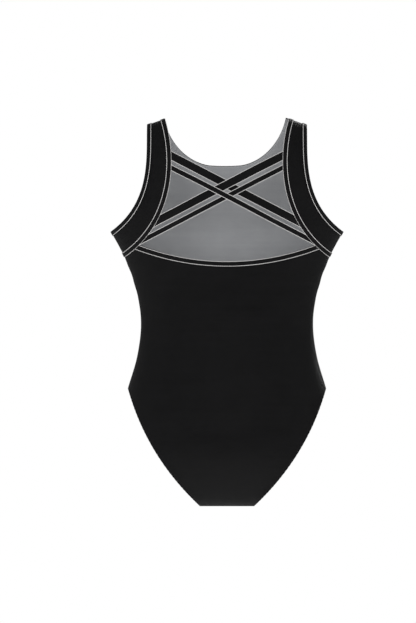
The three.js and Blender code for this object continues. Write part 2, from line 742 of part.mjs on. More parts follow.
/**
 * Carries an outline along a strap, from the wearer's left band down to the right one. Each corner
 * of the outline runs until it meets the band, so the ends are cut to the band's edge. Level counts
 * the straps passed over at the crossing, and hand mirrors the strap.
 */
function strap(line, outline, level, hand) {
  const centre = strapUp.clone().multiplyScalar(line);
  const reach = (from, direction) =>
    reachBand((t) => from.clone().addScaledVector(direction, 2 * t * underarmHalfWidth), strapEndGap);
  const corners = outline.map(([across, out]) => {
    const middle = centre.clone().addScaledVector(strapUp, across);
    const [mirrored] = flipped([middle]);
    const [left] = flipped([reach(mirrored, strapRise)]);
    return { out, left, right: reach(middle, strapFall) };
  });
  const rings = steps(strapRings).map((t) =>
    corners.map(({ out, left, right }) => {
      const at = left.clone().lerp(right, t);
      const ramp = THREE.MathUtils.smoothstep(Math.abs(at.x), crossingReach, rampEnd);
      const { point, normal } = skin(BACK, at.x, at.y);
      point.addScaledVector(normal, out + level * strapLevel * (1 - ramp));
      point.x *= hand;
      return point;
    }),
  );
  return loft(rings, outline);
}

// ---- Seams and the gusset lining ----

/** A serged seam allowance along a seam line, straddling the seam plane. */
function seam(line) {
  const along = line.map(({ x, y }) => {
    const { normal } = skin(FRONT, x, y);
    const level = new THREE.Vector3(normal.x, 0, normal.z).normalize();
    return { point: new THREE.Vector3(x, 0, y), normal: level, inward: new THREE.Vector3(0, 1, 0) };
  });
  return sweep(along, flatOutline(-seamWidth / 2, seamWidth / 2, seamLayer));
}

const seamEnd = bindingWidth + buttGap; // seams stop where a binding's inner leg ends
const spread = (from, to, count) => steps(count).map((t) => mix(from, to, t));
const shoulderSeam = (side) =>
  seam(spread(neckHalfWidth + seamEnd, shoulderHalfWidth - seamEnd, 2).map((x) => onShoulder(side * x)));
const sideSeam = (side) =>
  seam(
    spread(-bandFootDrop - seamEnd, -hipDrop + seamEnd, sideSeamStations).map((z) => {
      const at = onSide(z);
      return new THREE.Vector2(side * at.x, at.y);
    }),
  );
const crotchSeam = () => {
  const reach = crotchHalfWidth - seamEnd;
  return seam([-reach, reach].map((x) => new THREE.Vector2(x, -bodyLength)));
};

const gussetRows = backBottom.rows.filter((row) => row[0].point.z < gussetRise - bodyLength);

// ---- Assembly ----

const shellBlack = { color: 0x0b0b0c, roughness: 0.7, metalness: 0 };
const liningGrey = { color: 0x828386, roughness: 0.85, metalness: 0 };
const elasticWhite = { color: 0xd9d8d2, roughness: 0.8, metalness: 0 };
const threadGrey = { color: 0xb4b4b4, roughness: 0.6, metalness: 0 };

const leotard = new THREE.Group();
leotard.name = "gymnastics_leotard";

function add(name, geometry, look) {
  const mesh = new THREE.Mesh(geometry, new THREE.MeshStandardMaterial(look));
  mesh.name = name;
  leotard.add(mesh);
}

const frontSheet = new Sheet();
const frontBlocks = [straps[LEFT], straps[RIGHT], chestRows, frontTrunkRows, frontBottom.rows];
frontBlocks.forEach((rows) => frontSheet.grid(rows));
const backSheet = new Sheet().grid(backTrunkRows).grid(backBottom.rows);
add("front_panel", frontSheet.shell(clothLayer), shellBlack);
add("front_lining", frontSheet.shell(liningLayer), liningGrey);
add("back_panel", backSheet.shell(clothLayer), shellBlack);
add("crotch_gusset_lining", new Sheet().grid(gussetRows).shell(gussetLayer), liningGrey);
add("front_neck_elastic", sweep(shortened(neckRun, elasticEnd), elasticOutline), elasticWhite);
add("back_scoop_binding", sweep(scoopRun, bindingOutline), shellBlack);
add("back_scoop_elastic", sweep(shortened(scoopRun, elasticEnd), elasticOutline), elasticWhite);
add("back_scoop_stitching", sweep(scoopRun, threadOutline), threadGrey);
add("crotch_seam", crotchSeam(), threadGrey);

for (const [side, name] of [[LEFT, "left"], [RIGHT, "right"]]) {
  const inner = stations(onThe(side, bandInnerRun));
  add("back_band_" + name, new Sheet().grid(onThe(side, bandRows)).shell(clothLayer), shellBlack);
  add("armhole_binding_" + name, sweep(armholeRun(side), bindingOutline, true), shellBlack);
  add("armhole_elastic_" + name, sweep(armholeRun(side), elasticOutline, true), elasticWhite);
  add("armhole_stitching_" + name, sweep(armholeRun(side), threadOutline, true), threadGrey);
  add("band_edge_binding_" + name, sweep(inner, bindingOutline), shellBlack);
  add("band_edge_elastic_" + name, sweep(shortened(inner, elasticEnd), elasticOutline), elasticWhite);
  add("band_edge_stitching_" + name, sweep(inner, threadOutline), threadGrey);
  add("leg_facing_" + name, sweep(legRun(side), facingOutline, true), shellBlack);
  add("leg_elastic_" + name, sweep(legRun(side), elasticOutline, true), elasticWhite);
  add("shoulder_seam_" + name, shoulderSeam(side), threadGrey);
  add("side_seam_" + name, sideSeam(side), threadGrey);
}

// Straps are named after the shoulder they start from. The wide strap from the left shoulder lies
// lowest, the two from the right shoulder pass over it, and the narrow one from the left lies on top.
for (const [width, line, name, level, hand] of [
  [wideStrapWidth, wideLine, "wide_strap_left", 0, RIGHT],
  [wideStrapWidth, wideLine, "wide_strap_right", 1, LEFT],
  [narrowStrapWidth, narrowLine, "narrow_strap_right", 1, LEFT],
  [narrowStrapWidth, narrowLine, "narrow_strap_left", 2, RIGHT],
]) {
  add(name, strap(line, strapOutline(width), level, hand), shellBlack);
  add(name + "_elastic", strap(line, strapElasticOutline(width), level, hand), elasticWhite);
}

export default leotard;
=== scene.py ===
# %% [markdown]
# An open-back gymnastics leotard, shown in the shape it takes when worn. The real garment is cut
# from thin stretch knit and sewn: a front with a grey lining, a back that starts at a low scoop,
# two broad bands that frame the open back, and four crossed straps. The CAD frame is loaded first,
# because every piece made here lies where the frame's solids lie.

# %% Start from the imported frame
import math

import bmesh
import bpy
import numpy as np
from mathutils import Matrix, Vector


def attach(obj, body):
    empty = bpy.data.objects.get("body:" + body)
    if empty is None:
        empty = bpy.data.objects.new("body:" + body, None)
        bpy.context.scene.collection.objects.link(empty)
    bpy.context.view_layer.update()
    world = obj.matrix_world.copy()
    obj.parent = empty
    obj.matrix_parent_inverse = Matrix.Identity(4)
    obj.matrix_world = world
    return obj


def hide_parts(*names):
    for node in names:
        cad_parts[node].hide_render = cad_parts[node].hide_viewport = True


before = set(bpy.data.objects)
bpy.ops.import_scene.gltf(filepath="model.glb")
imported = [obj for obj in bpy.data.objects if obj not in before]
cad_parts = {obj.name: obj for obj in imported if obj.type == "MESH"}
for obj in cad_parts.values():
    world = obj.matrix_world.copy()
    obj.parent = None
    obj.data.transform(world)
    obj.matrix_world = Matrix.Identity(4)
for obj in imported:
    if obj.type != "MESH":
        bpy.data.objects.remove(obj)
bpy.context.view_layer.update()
scene = bpy.context.scene
MM = 0.001
print("frame nodes:", len(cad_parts))

# %% [markdown]
# The camera looks straight at the back of the garment, square on and without perspective, as a
# fashion flat is drawn. The view transform is plain, so that the pale ground stays pale and the
# black cloth stays black.

# %% Camera
camera = bpy.data.objects.new("camera", bpy.data.cameras.new("camera"))
scene.collection.objects.link(camera)
camera.data.type = "ORTHO"
camera.data.ortho_scale = 0.9968
camera.location = (-0.0304, -3.0, -0.308)
camera.rotation_euler = (math.pi / 2, 0, 0)
camera.data.clip_end = 20
scene.camera = camera
scene.view_settings.view_transform = "Standard"

# %% [markdown]
# The torso form. All the cloth lies on one smooth closed form, so the form is a function: how
# wide the body is at each height, how deep its front and back are, and a rounded cross-section
# between them. Sculpting would give a softer body, but a function lets every seam, strap and row
# of stitches find its place on the same surface. Sizes are in millimetres, heights are drops
# below the high shoulder points.

# %% Curves of the body


def smooth(knots):
    """A smooth function through (position, value) knots."""
    at, value = (np.array(column, float) for column in zip(*knots))
    chord = np.diff(value) / np.diff(at)
    share = np.diff(at)[:-1] / (at[2:] - at[:-2])
    inner = chord[:-1] * (1 - share) + chord[1:] * share
    slope = np.concatenate([chord[:1], inner, chord[-1:]])

    def curve(where):
        where = np.asarray(where, float)
        i = np.clip(np.searchsorted(at, where) - 1, 0, len(at) - 2)
        length = at[i + 1] - at[i]
        u = np.clip((where - at[i]) / length, 0, 1)
        rise = u * u * (3 - 2 * u)
        bend = (1 - u) * slope[i] - u * slope[i + 1]
        return value[i] * (1 - rise) + value[i + 1] * rise + length * u * (1 - u) * bend

    return curve


def mix(a, b, t):
    return a + (b - a) * t


UNDERARM, WAIST, HIP, LENGTH = 179.5, 322.0, 432.0, 619.0
UNDERARM_HALF, WAIST_HALF, HIP_HALF, THIGH_HALF = 185.5, 137.3, 158.4, 178.0
SEAT = mix(HIP, LENGTH, 0.41)
NECK_HALF, SHOULDER_HALF, SHOULDER_SLOPE = 99.0, 128.0, 10 / 29
ROUNDNESS, SHOULDER_ROUND, CROTCH_ROUND = 2.2, 120.0, 0.67 * (LENGTH - HIP)

half_width = smooth([
    (0, 207.5), (UNDERARM - 80, 206.5), (UNDERARM - 30, 199.5), (UNDERARM, UNDERARM_HALF),
    (mix(UNDERARM, WAIST, 0.23), mix(WAIST_HALF, UNDERARM_HALF, 0.63)),
    (mix(UNDERARM, WAIST, 0.5), mix(WAIST_HALF, UNDERARM_HALF, 0.3)),
    (WAIST, WAIST_HALF), (mix(WAIST, HIP, 0.53), mix(WAIST_HALF, HIP_HALF, 0.29)),
    (HIP, HIP_HALF), (SEAT, THIGH_HALF), (LENGTH, THIGH_HALF),
])
front_depth = smooth([
    (0, 60), (UNDERARM * 0.45, 82), (UNDERARM, 104), (mix(UNDERARM, WAIST, 0.45), 92.6),
    (WAIST, 74), (HIP, 82), (SEAT, 76), (LENGTH, 46.4),
])
back_depth = smooth([
    (0, 60), (UNDERARM * 0.4, 79.2), (UNDERARM * 0.85, 92), (mix(UNDERARM, WAIST, 0.45), 80),
    (WAIST, 62), (HIP, 94.5), (SEAT, 112), (LENGTH, 58),
])
print("waist", 2 * WAIST_HALF, "mm wide, hips", 2 * HIP_HALF, "mm wide")

# %% [markdown]
# Depth and width give an implicit surface: zero on the skin, negative inside. `skin` reads it
# from the front or the back, and `settle` walks any nearby points down onto it, which keeps a
# folded tape lying on the body however the body turns beneath it.

# %% The form as a surface
FRONT, BACK, LEFT, RIGHT = 1, -1, -1, 1
SIDES = ((LEFT, "left"), (RIGHT, "right"))


def shoulder_line(x):
    """Height of the shoulder seam."""
    return SHOULDER_SLOPE * (NECK_HALF - np.abs(x))


def closing(t):
    """Rises from 0 to 1 with a rounded end."""
    return 1 - (1 - np.minimum(t, 1)) ** 2


def fullness(x, z):
    """What is left of the body's depth here: none at its sides, its top and the crotch."""
    side = 1 - np.abs(x / half_width(-z)) ** ROUNDNESS
    top = closing((shoulder_line(x) - z) / SHOULDER_ROUND)
    return side * top * closing((z + LENGTH) / CROTCH_ROUND)


def level(p):
    """Zero on the form's skin, negative inside it."""
    depth = np.where(p[..., 1] >= 0, front_depth(-p[..., 2]), back_depth(-p[..., 2]))
    return np.abs(p[..., 1] / depth) ** ROUNDNESS - fullness(p[..., 0], p[..., 2])


def gradient(p, step=0.4):
    slope = [level(p + d) - level(p - d) for d in step * np.eye(3)]
    return np.stack(slope, axis=-1) / (2 * step)


def unit(v):
    return v / np.maximum(np.linalg.norm(v, axis=-1, keepdims=True), 1e-9)


def skin(face, x, z):
    """Points on the front or the back of the form, over (x, z)."""
    x, z = np.broadcast_arrays(np.asarray(x, float), np.asarray(z, float))
    depth = front_depth(-z) if face == FRONT else back_depth(-z)
    y = face * depth * np.maximum(fullness(x, z), 0) ** (1 / ROUNDNESS)
    return np.stack([x, y, z], axis=-1)


def normals(p):
    return unit(gradient(p))


def settle(p, rounds=4):
    """Moves points along the surface's own normals until they lie on it."""
    for _ in range(rounds):
        g = gradient(p)
        p = p - g * (level(p) / np.maximum((g * g).sum(-1), 1e-9))[..., None]
    return p


# %% [markdown]
# The cut edges are drawn flat, on the wearer's right, and mirrored for the left: the armhole, the
# band's inner edge, and the leg line, each of them for the back and the front. A cubic curve is
# enough for each.

# %% Cut edges


def cut_edge(start, end, first, second):
    """A dense cubic curve whose inner points are shares of the way across and down."""
    start, end = np.array(start), np.array(end)
    a, b = start + (end - start) * first, start + (end - start) * second
    t = np.linspace(0, 1, 1500)[:, None]
    return (1 - t) ** 3 * start + 3 * t * (1 - t) ** 2 * a + 3 * t * t * (1 - t) * b + t**3 * end


def on_side(z):
    return (float(half_width(-z)), z)


WRAP = 1.0
BAND_FOOT = 221.0
SHOULDER_END = (SHOULDER_HALF - WRAP, float(shoulder_line(SHOULDER_HALF - WRAP)))
armhole_back = cut_edge(SHOULDER_END, on_side(-UNDERARM - WRAP), (0.035, 0.285), (-0.15, 0.713))
armhole_front = cut_edge(SHOULDER_END, on_side(-UNDERARM - WRAP), (-0.05, 0.285), (-0.29, 0.74))
NECK_END = (NECK_HALF + WRAP, float(shoulder_line(NECK_HALF + WRAP)))
band_inner = cut_edge(NECK_END, on_side(-BAND_FOOT + WRAP), (-0.296, 0.272), (-0.28, 0.74))
LEG_TOP, CROTCH_END = on_side(-HIP + WRAP), (43.1, -LENGTH)
leg_back = cut_edge(LEG_TOP, CROTCH_END, (0.19, 0.412), (0.535, 0.732))
leg_front = cut_edge(LEG_TOP, CROTCH_END, (0.3, 0.36), (0.66, 0.71))


def edge_width(edge, z):
    return np.interp(-np.asarray(z), -edge[:, 1], edge[:, 0])


NECK_DROP, NECK_SHIFT, NECK_WIDTH, NECK_FLAT, NECK_LEAN = 75.6, -3.1, 97.6, 13.5, 0.253


def front_neck(side, t):
    """The front neckline from one strap (0) to its lowest point (1), as (x, z)."""
    t = np.asarray(t, float)
    angle = mix(NECK_LEAN, math.pi / 2, t)
    far, high = math.cos(NECK_LEAN), math.sin(NECK_LEAN)
    reach = NECK_FLAT * np.minimum(1, (1 - t) * 9) + (NECK_WIDTH - NECK_FLAT) * np.cos(angle) / far
    top = shoulder_line(NECK_SHIFT + side * NECK_WIDTH)
    fall = (np.sin(angle) - high) / (1 - high)
    return np.stack([NECK_SHIFT + side * reach, mix(top, -NECK_DROP, fall)], axis=-1)


SCOOP_CORNER, SCOOP_SAG = BAND_FOOT - 19.4, 26.4
scoop_half = float(edge_width(band_inner, -SCOOP_CORNER))
scoop_radius = (scoop_half**2 + SCOOP_SAG**2) / (2 * SCOOP_SAG)


def scoop(x, inset=0.0):
    """Height of the back scoop's finished edge, or of a line an inset below it."""
    return scoop_radius - SCOOP_CORNER - SCOOP_SAG - np.sqrt((scoop_radius + inset) ** 2 - x * x)


print("scoop corners at", round(scoop_half, 1), "mm from the centre")

# %% [markdown]
# Worn cloth is never quite still: it gathers a little where the leg elastic pulls it in, and soft
# tension folds cross the small of the back. These are made as one relief over the form, a height
# in millimetres at each place, and every layer takes the same relief, so that the layers move in
# and out together and never pass through each other.

# %% Relief shared by all layers


def length_along(points):
    """The length run at each point of a line."""
    return np.concatenate([[0], np.cumsum(np.linalg.norm(np.diff(points, axis=0), axis=1))])


def even(face, edge, count):
    """Points of an edge, evenly spaced over the form, as (x, z)."""
    edge = np.asarray(edge, float)
    run = length_along(skin(face, edge[:, 0], edge[:, 1]))
    at = np.linspace(0, run[-1], count)
    return np.stack([np.interp(at, run, edge[:, k]) for k in (0, 1)], axis=-1)


def mirrored(points):
    """The same points on the other side of the body's middle."""
    points = np.array(points, float)
    points[..., 0] *= -1
    return points


leg_lines = []
for face, edge in ((BACK, leg_back), (FRONT, leg_front)):
    for side in (LEFT, RIGHT):
        line = even(face, edge, 240)
        leg_lines.append(skin(face, side * line[:, 0], line[:, 1]))


GATHER, GATHERS_FADE = 0.24, 13.0


def gathers(p):
    """Fine gathers that fade out within a thumb's width of the leg openings."""
    flat = p.reshape(-1, 3)
    height = np.zeros(len(flat))
    for line in leg_lines:
        run, along = length_along(line), unit(np.gradient(line, axis=0))
        near = np.where(np.abs(flat[:, 2] + 525) < 125)[0]
        near = near[np.sign(flat[near, 0]) == np.sign(line[0, 0])]
        near = near[np.sign(flat[near, 1]) == np.sign(line[120, 1])]
        for part in np.array_split(near, max(1, len(near) // 4000)):
            if not len(part):
                continue
            gap = np.linalg.norm(flat[part, None] - line[None], axis=2)
            i = gap.argmin(axis=1)
            s = run[i] + ((flat[part] - line[i]) * along[i]).sum(-1)
            ends = np.clip(s / 40, 0, 1) * np.clip((run[-1] - s) / 40, 0, 1)
            wave = np.sin(s * 0.78 + 1.4 * np.sin(s * 0.05))
            fading = np.exp(-((gap.min(axis=1) / GATHERS_FADE) ** 2))
            height[part] = GATHER * ends * wave * fading
    return height.reshape(p.shape[:-1])


def folds(p):
    """Broad, shallow folds across the small of the back and under the arms."""
    x, y, z = p[..., 0], p[..., 1], p[..., 2]
    waist = np.exp(-(((z + 318) / 60) ** 2)) * np.clip(np.abs(y) / 30, 0, 1)
    across = np.sin(z * 0.19 + 0.9 * np.sin(x * 0.021 + 0.8))
    across = across * (0.6 + 0.4 * np.sin(x * 0.033 + z * 0.02))
    drag = np.exp(-(((z + 252) / 40) ** 2)) * np.clip((np.abs(x) - 90) / 60, 0, 1)
    slanted = np.sin(0.16 * (z + 0.8 * np.abs(x)))
    return 0.55 * waist * across + 0.35 * drag * slanted


def relief(p):
    return gathers(p) + folds(p)


def lifted(p, out):
    """Points of the form carried out along its normals, with the relief added."""
    return p + normals(p) * (np.asarray(out) + relief(p))[..., None]


# %% [markdown]
# A piece of cloth is filled in from the four edges of each of its parts. The edges are unrolled to
# (angle round the body, height), the inside is blended from them, and the result is rolled back
# onto the form. The layout follows the cut: it has one column after another all the way to every
# edge, so that hems, seams and cloth all share their outline.

# %% Filling cloth in between its edges
QUARTER = math.pi / 2


def unrolled(edge):
    """Places given as (x, z) become (angle round the body, z)."""
    edge = np.asarray(edge, float)
    share = np.minimum(1, np.abs(edge[:, 0]) / half_width(-edge[:, 1])) ** (ROUNDNESS / 2)
    return np.stack([np.sign(edge[:, 0]) * np.arcsin(share), edge[:, 1]], axis=-1)


def rolled(face, rows):
    """Back from (angle, z) to points on the form."""
    angle, z = rows[..., 0], rows[..., 1]
    wide = np.sin(np.minimum(np.abs(angle), QUARTER)) ** (2 / ROUNDNESS)
    return skin(face, np.sign(angle) * half_width(-z) * wide, z)


def fill(face, top, bottom, left, right):
    """Rows of points between four edges, whose ends meet."""
    top, bottom, left, right = (unrolled(edge) for edge in (top, bottom, left, right))
    u = np.linspace(0, 1, len(top))[None, :, None]
    v = np.linspace(0, 1, len(left))[:, None, None]
    across = (1 - v) * top[None] + v * bottom[None]
    down = (1 - u) * left[:, None] + u * right[:, None]
    corners = (1 - v) * ((1 - u) * top[0] + u * top[-1])
    corners = corners + v * ((1 - u) * bottom[0] + u * bottom[-1])
    return rolled(face, across + down - corners)


def join_up(*edges):
    """Edges end to end, without the shared end points."""
    return np.concatenate([edges[0]] + [edge[1:] for edge in edges[1:]])


def edge_part(edge, top, bottom):
    """The part of a cut edge between two heights."""
    z = np.linspace(top, bottom, 400)
    return np.stack([edge_width(edge, z), z], axis=-1)


def level_line(edge, z):
    """A level line from one side's cut edge to the other's."""
    angle = unrolled([(float(edge_width(edge, z)), z)])[0, 0]
    turn = np.linspace(-angle, angle, 400)
    x = np.sign(turn) * half_width(-z) * np.sin(np.abs(turn)) ** (2 / ROUNDNESS)
    return np.stack([x, np.full(400, z)], axis=-1)


def side_seam(top, bottom):
    """The side of the body between two heights."""
    z = np.linspace(top, bottom, 400)
    return np.stack([half_width(-z), z], axis=-1)


# %% [markdown]
# The cloth needs a flat map of itself, in metres, so that a knit drawn on it keeps its gauge
# everywhere. Unwrapping by Blender's own tools would stretch it where the body curves, so the
# lengths round the body and down its middle are measured once and looked up for every point.

# %% A flat map of the cloth
TABLE_TOP = 2.5


def girth_table(face):
    """Arc length round the form from its centre line, by height and angle."""
    z = np.linspace(TABLE_TOP, -LENGTH, 320)
    angle = np.linspace(0, QUARTER, 160)
    rows = rolled(face, np.stack(np.meshgrid(angle, z), axis=-1))
    step = np.linalg.norm(np.diff(rows, axis=1), axis=2)
    across = np.concatenate([np.zeros((len(z), 1)), np.cumsum(step, axis=1)], axis=1)
    return across, length_along(rows[:, 0])


girths = {face: girth_table(face) for face in (FRONT, BACK)}


def cloth_uv(face, p):
    """Metres round and down the unrolled cloth."""
    across, down = girths[face]
    turned = unrolled(np.stack([p[:, 0], p[:, 2]], axis=-1))
    deep, wide = across.shape
    row = np.clip((TABLE_TOP - p[:, 2]) / (LENGTH + TABLE_TOP), 0, 1) * (deep - 1)
    column = np.abs(turned[:, 0]) / QUARTER * (wide - 1)
    i, j = (np.minimum(v.astype(int), n - 2) for v, n in ((row, deep), (column, wide)))
    fi, fj = row - i, column - j
    upper = mix(across[i, j], across[i, j + 1], fj)
    lower = mix(across[i + 1, j], across[i + 1, j + 1], fj)
    u = np.sign(p[:, 0]) * mix(upper, lower, fi)
    return np.stack([u, -np.interp(row, np.arange(len(down)), down)], axis=-1) * MM


print("half girth of the back, at its widest", round(float(girths[BACK][0].max())), "mm")

# %% [markdown]
# Rows of points become a cloth: parts that share an edge are welded, each part is turned to face
# outwards, and the sheet is given its thickness, with a rim round its edge. A Solidify modifier
# would do nearly the same, but here each face of the sheet is put at its own exact distance from
# the form, which keeps the layers of the garment apart.

# %% Cloth meshes
SHELL, LINING, GUSSET = (0.0, 0.5), (-2.2, -1.7), (-4.75, -4.25)


def weld(blocks):
    """One sheet of points and quads from blocks of rows."""
    points, quads, index = [], [], {}
    for rows in blocks:
        shape = rows.shape[:2]
        ids = np.empty(shape, int)
        for place, p in zip(np.ndindex(shape), rows.reshape(-1, 3)):
            key = tuple(np.round(p * 20).astype(int))
            if key not in index:
                index[key] = len(points)
                points.append(p)
            ids[place] = index[key]
        a, b, c, d = ids[:-1, :-1], ids[:-1, 1:], ids[1:, 1:], ids[1:, :-1]
        faces = np.stack([a, b, c, d], axis=-1).reshape(-1, 4)
        corner = np.array(points)[faces]
        turn = np.cross(corner[:, 2] - corner[:, 0], corner[:, 3] - corner[:, 1])
        if (turn * normals(corner.mean(axis=1))).sum() < 0:
            faces = faces[:, ::-1]
        quads.append(faces)
    return np.array(points), np.concatenate(quads)


def as_face(ids):
    """A face without doubled corners, or nothing where it has closed up."""
    kept = [v for k, v in enumerate(ids) if v != ids[k - 1]]
    return kept if len(set(kept)) == len(kept) and len(kept) > 2 else None


def new_piece(name, points, faces, uv, material):
    """A mesh object from points in millimetres; uv has one row per point."""
    faces = [face for face in (as_face(list(f)) for f in faces) if face]
    mesh = bpy.data.meshes.new(name)
    mesh.from_pydata((np.asarray(points) * MM).tolist(), [], faces)
    layer = mesh.uv_layers.new(name="cloth")
    loops = np.empty(len(mesh.loops), np.int32)
    mesh.loops.foreach_get("vertex_index", loops)
    layer.data.foreach_set("uv", np.asarray(uv, np.float32)[loops].ravel())
    mesh.shade_smooth()
    mesh.materials.append(material)
    piece = bpy.data.objects.new(name, mesh)
    scene.collection.objects.link(piece)
    return piece


def cloth(name, face, blocks, layer, material):
    """A closed shell of cloth between a layer's two distances from the form."""
    inner, outer = layer
    points, quads = weld(blocks)
    n = len(points)
    edges = {}  # each edge that only one quad has
    for q in quads.tolist():
        for a, b in zip(q, q[1:] + q[:1]):
            if a != b and edges.pop((b, a), None) is None:
                edges[a, b] = True
    rim = [(a, a + n, b + n, b) for a, b in edges]
    faces = quads.tolist() + (quads[:, ::-1] + n).tolist() + rim
    shell = np.concatenate([lifted(points, outer), lifted(points, inner)])
    uv = cloth_uv(face, points)
    return new_piece(name, shell, faces, np.concatenate([uv, uv]), material)


# %% [markdown]
# Stretch knit, close up, is a field of small V-shaped stitches in columns. A painted texture could
# show them, but a few lines of maths on the cloth's UV map draw them at their true gauge at any
# distance: a column pattern, a slanted course pattern, and their product as the height. One group
# serves the shell, the lining, the bindings and the straps, each at its own gauge.

# %% A node helper and the knit


class Nodes:
    """Adds nodes to a tree, with their settings and inputs in one call."""

    def __init__(self, tree):
        self.tree = tree
        tree.nodes.clear()

    def add(self, kind, inputs=None, **settings):
        node = self.tree.nodes.new(kind)
        for key, value in settings.items():
            setattr(node, key, value)
        for key, value in (inputs or {}).items():
            self.set(node.inputs[key], value)
        return node

    def set(self, socket, value):
        if isinstance(value, bpy.types.Node):
            value = next(output for output in value.outputs if output.enabled)
        if isinstance(value, bpy.types.NodeSocket):
            self.tree.links.new(value, socket)
        else:
            socket.default_value = value

    def math(self, operation, a, b=0.0):
        return self.add("ShaderNodeMath", {0: a, 1: b}, operation=operation)


def knit_group():
    """Height of a knit, 0 to 1, from a place in metres and the size of its stitches."""
    tree = bpy.data.node_groups.new("knit", "ShaderNodeTree")
    tree.interface.new_socket("Place", in_out="INPUT", socket_type="NodeSocketVector")
    for name in ("Wale", "Course"):
        tree.interface.new_socket(name, in_out="INPUT", socket_type="NodeSocketFloat")
    tree.interface.new_socket("Height", in_out="OUTPUT", socket_type="NodeSocketFloat")
    n = Nodes(tree)
    given = n.add("NodeGroupInput")
    place = n.add("ShaderNodeSeparateXYZ", {0: given.outputs["Place"]})
    column = n.math("FRACT", n.math("DIVIDE", place.outputs["X"], given.outputs["Wale"]))
    leg = n.math("ABSOLUTE", n.math("SUBTRACT", n.math("MULTIPLY", column, 2.0), 1.0))
    slant = n.math("MULTIPLY", leg, 0.7)
    course = n.math("ADD", n.math("DIVIDE", place.outputs["Y"], given.outputs["Course"]), slant)
    loop = n.math("ABSOLUTE", n.math("SINE", n.math("MULTIPLY", course, math.pi)))
    ridge = n.math("SINE", n.math("MULTIPLY", leg, math.pi))
    height = n.math("MULTIPLY", ridge, n.math("ADD", n.math("MULTIPLY", loop, 0.7), 0.3))
    n.add("NodeGroupOutput", {"Height": height})
    return tree


knit = knit_group()

# %% [markdown]
# The finishes. The shell is a matt black nylon and elastane knit with a soft bloom at grazing
# angles and slight differences of tone where it is stretched. The lining is a lighter, more open
# grey knit. Bindings and straps are the shell cloth cut along its grain, so they share its colour
# with a finer, tighter surface. Elastic is a ribbed off-white braid, and the threads are spun
# polyester with a twist. In all of them the colour is made darker in the grooves of the stitches,
# cords and twist, as painted shade.

# %% Cloth materials


def finish_of(n, material, base, height, depth, roughness, sheen, specular=0.25):
    """Ends a material's tree in a rough surface with a bump and a bloom of sheen."""
    bump = n.add("ShaderNodeBump", {"Height": height, "Distance": depth, "Strength": 0.6})
    shader = n.add("ShaderNodeBsdfPrincipled", {
        "Base Color": base, "Roughness": roughness, "Normal": bump,
        "Specular IOR Level": specular, "Sheen Weight": sheen, "Sheen Roughness": 0.45,
    })
    n.add("ShaderNodeOutputMaterial", {"Surface": shader})
    return material


def between(n, factor, dark, light):
    """A colour between two, by a pattern."""
    blend = n.add("ShaderNodeMix", data_type="RGBA")
    n.set(blend.inputs[0], factor)
    n.set(blend.inputs[6], (*dark, 1))
    n.set(blend.inputs[7], (*light, 1))
    return blend.outputs[2]


def knit_cloth(name, dark, light, wale, course, depth, roughness, sheen, specular=0.25, worn=0.4):
    """Knit: painted shade darkens the colour between the stitches; a soft mottling and the stretch
    lines vary it too.
    """
    material = bpy.data.materials.new(name)
    material.use_nodes = True
    n = Nodes(material.node_tree)
    place = n.add("ShaderNodeUVMap", uv_map="cloth")
    stitches = n.add("ShaderNodeGroup", node_tree=knit)
    for key, value in (("Place", place), ("Wale", wale), ("Course", course)):
        n.set(stitches.inputs[key], value)
    mottle = n.add("ShaderNodeTexNoise",
                   {"Vector": place, "Scale": 26.0, "Detail": 4.0, "Roughness": 0.6})
    pulled = n.add("ShaderNodeMapping", {"Vector": place, "Scale": (5.0, 140.0, 1.0)})
    stretch = n.add("ShaderNodeTexNoise", {"Vector": pulled, "Scale": 1.0, "Detail": 2.0})
    strained = n.math("MULTIPLY", stretch.outputs[0], 0.25)
    tone_with_painted_shade = n.math("ADD", n.math("MULTIPLY", mottle.outputs[0], worn), strained)
    # Painted shade: the stitches' height lightens their tops and darkens the grooves between them.
    tone_with_painted_shade = n.math("ADD", n.math("MULTIPLY", stitches, 0.75), n.math("SUBTRACT", tone_with_painted_shade, 0.15))
    fuzz = n.add("ShaderNodeTexNoise", {"Vector": place, "Scale": 5200.0, "Detail": 2.0})
    height = n.math("ADD", stitches, n.math("MULTIPLY", fuzz.outputs[0], 0.25))
    rough = n.math("ADD", n.math("MULTIPLY", mottle.outputs[0], 0.12), roughness - 0.06)
    base = between(n, tone_with_painted_shade, dark, light)
    return finish_of(n, material, base, height, depth, rough, sheen, specular)


shell_knit = knit_cloth("shell_knit", (0.0002,) * 3, (0.0078, 0.0077, 0.0083), 0.00066, 0.00052,
                        0.00045, 0.5, 0.005, 0.06)
tape_knit = knit_cloth("tape_knit", (0.0002,) * 3, (0.0078, 0.0077, 0.0083), 0.00066, 0.00056,
                       0.00045, 0.5, 0.005, 0.06)
lining_knit = knit_cloth("lining_knit", (0.22, 0.225, 0.235), (0.41, 0.417, 0.43), 0.0009, 0.0008,
                         0.0002, 0.85, 0.03, 0.12)


def braid(name, colour):
    """Woven elastic: lengthwise cords crossed by fine weft, with painted shade greying the grooves.
    """
    material = bpy.data.materials.new(name)
    material.use_nodes = True
    n = Nodes(material.node_tree)
    place = n.add("ShaderNodeUVMap", uv_map="cloth")
    along = n.add("ShaderNodeSeparateXYZ", {0: place})
    weft, cords = (
        n.math("ABSOLUTE", n.math("SINE", n.math("MULTIPLY", along.outputs[axis], math.pi / pitch)))
        for axis, pitch in (("X", 0.0007), ("Y", 0.001)))
    height = n.math("MULTIPLY", n.math("ADD", weft, 0.4), n.math("ADD", cords, 0.3))
    soil = n.add("ShaderNodeTexNoise", {"Vector": place, "Scale": 60.0, "Detail": 3.0})
    # Painted shade: the weave's height darkens the grooves between cords and weft; the soil noise
    # adds a random mottle.
    tone_with_painted_shade = n.math("ADD", n.math("MULTIPLY", height, 0.45), n.math("MULTIPLY", soil.outputs[0], 0.4))
    base = between(n, tone_with_painted_shade, tuple(0.72 * c for c in colour), colour)
    return finish_of(n, material, base, height, 0.00015, 0.7, 0.04)


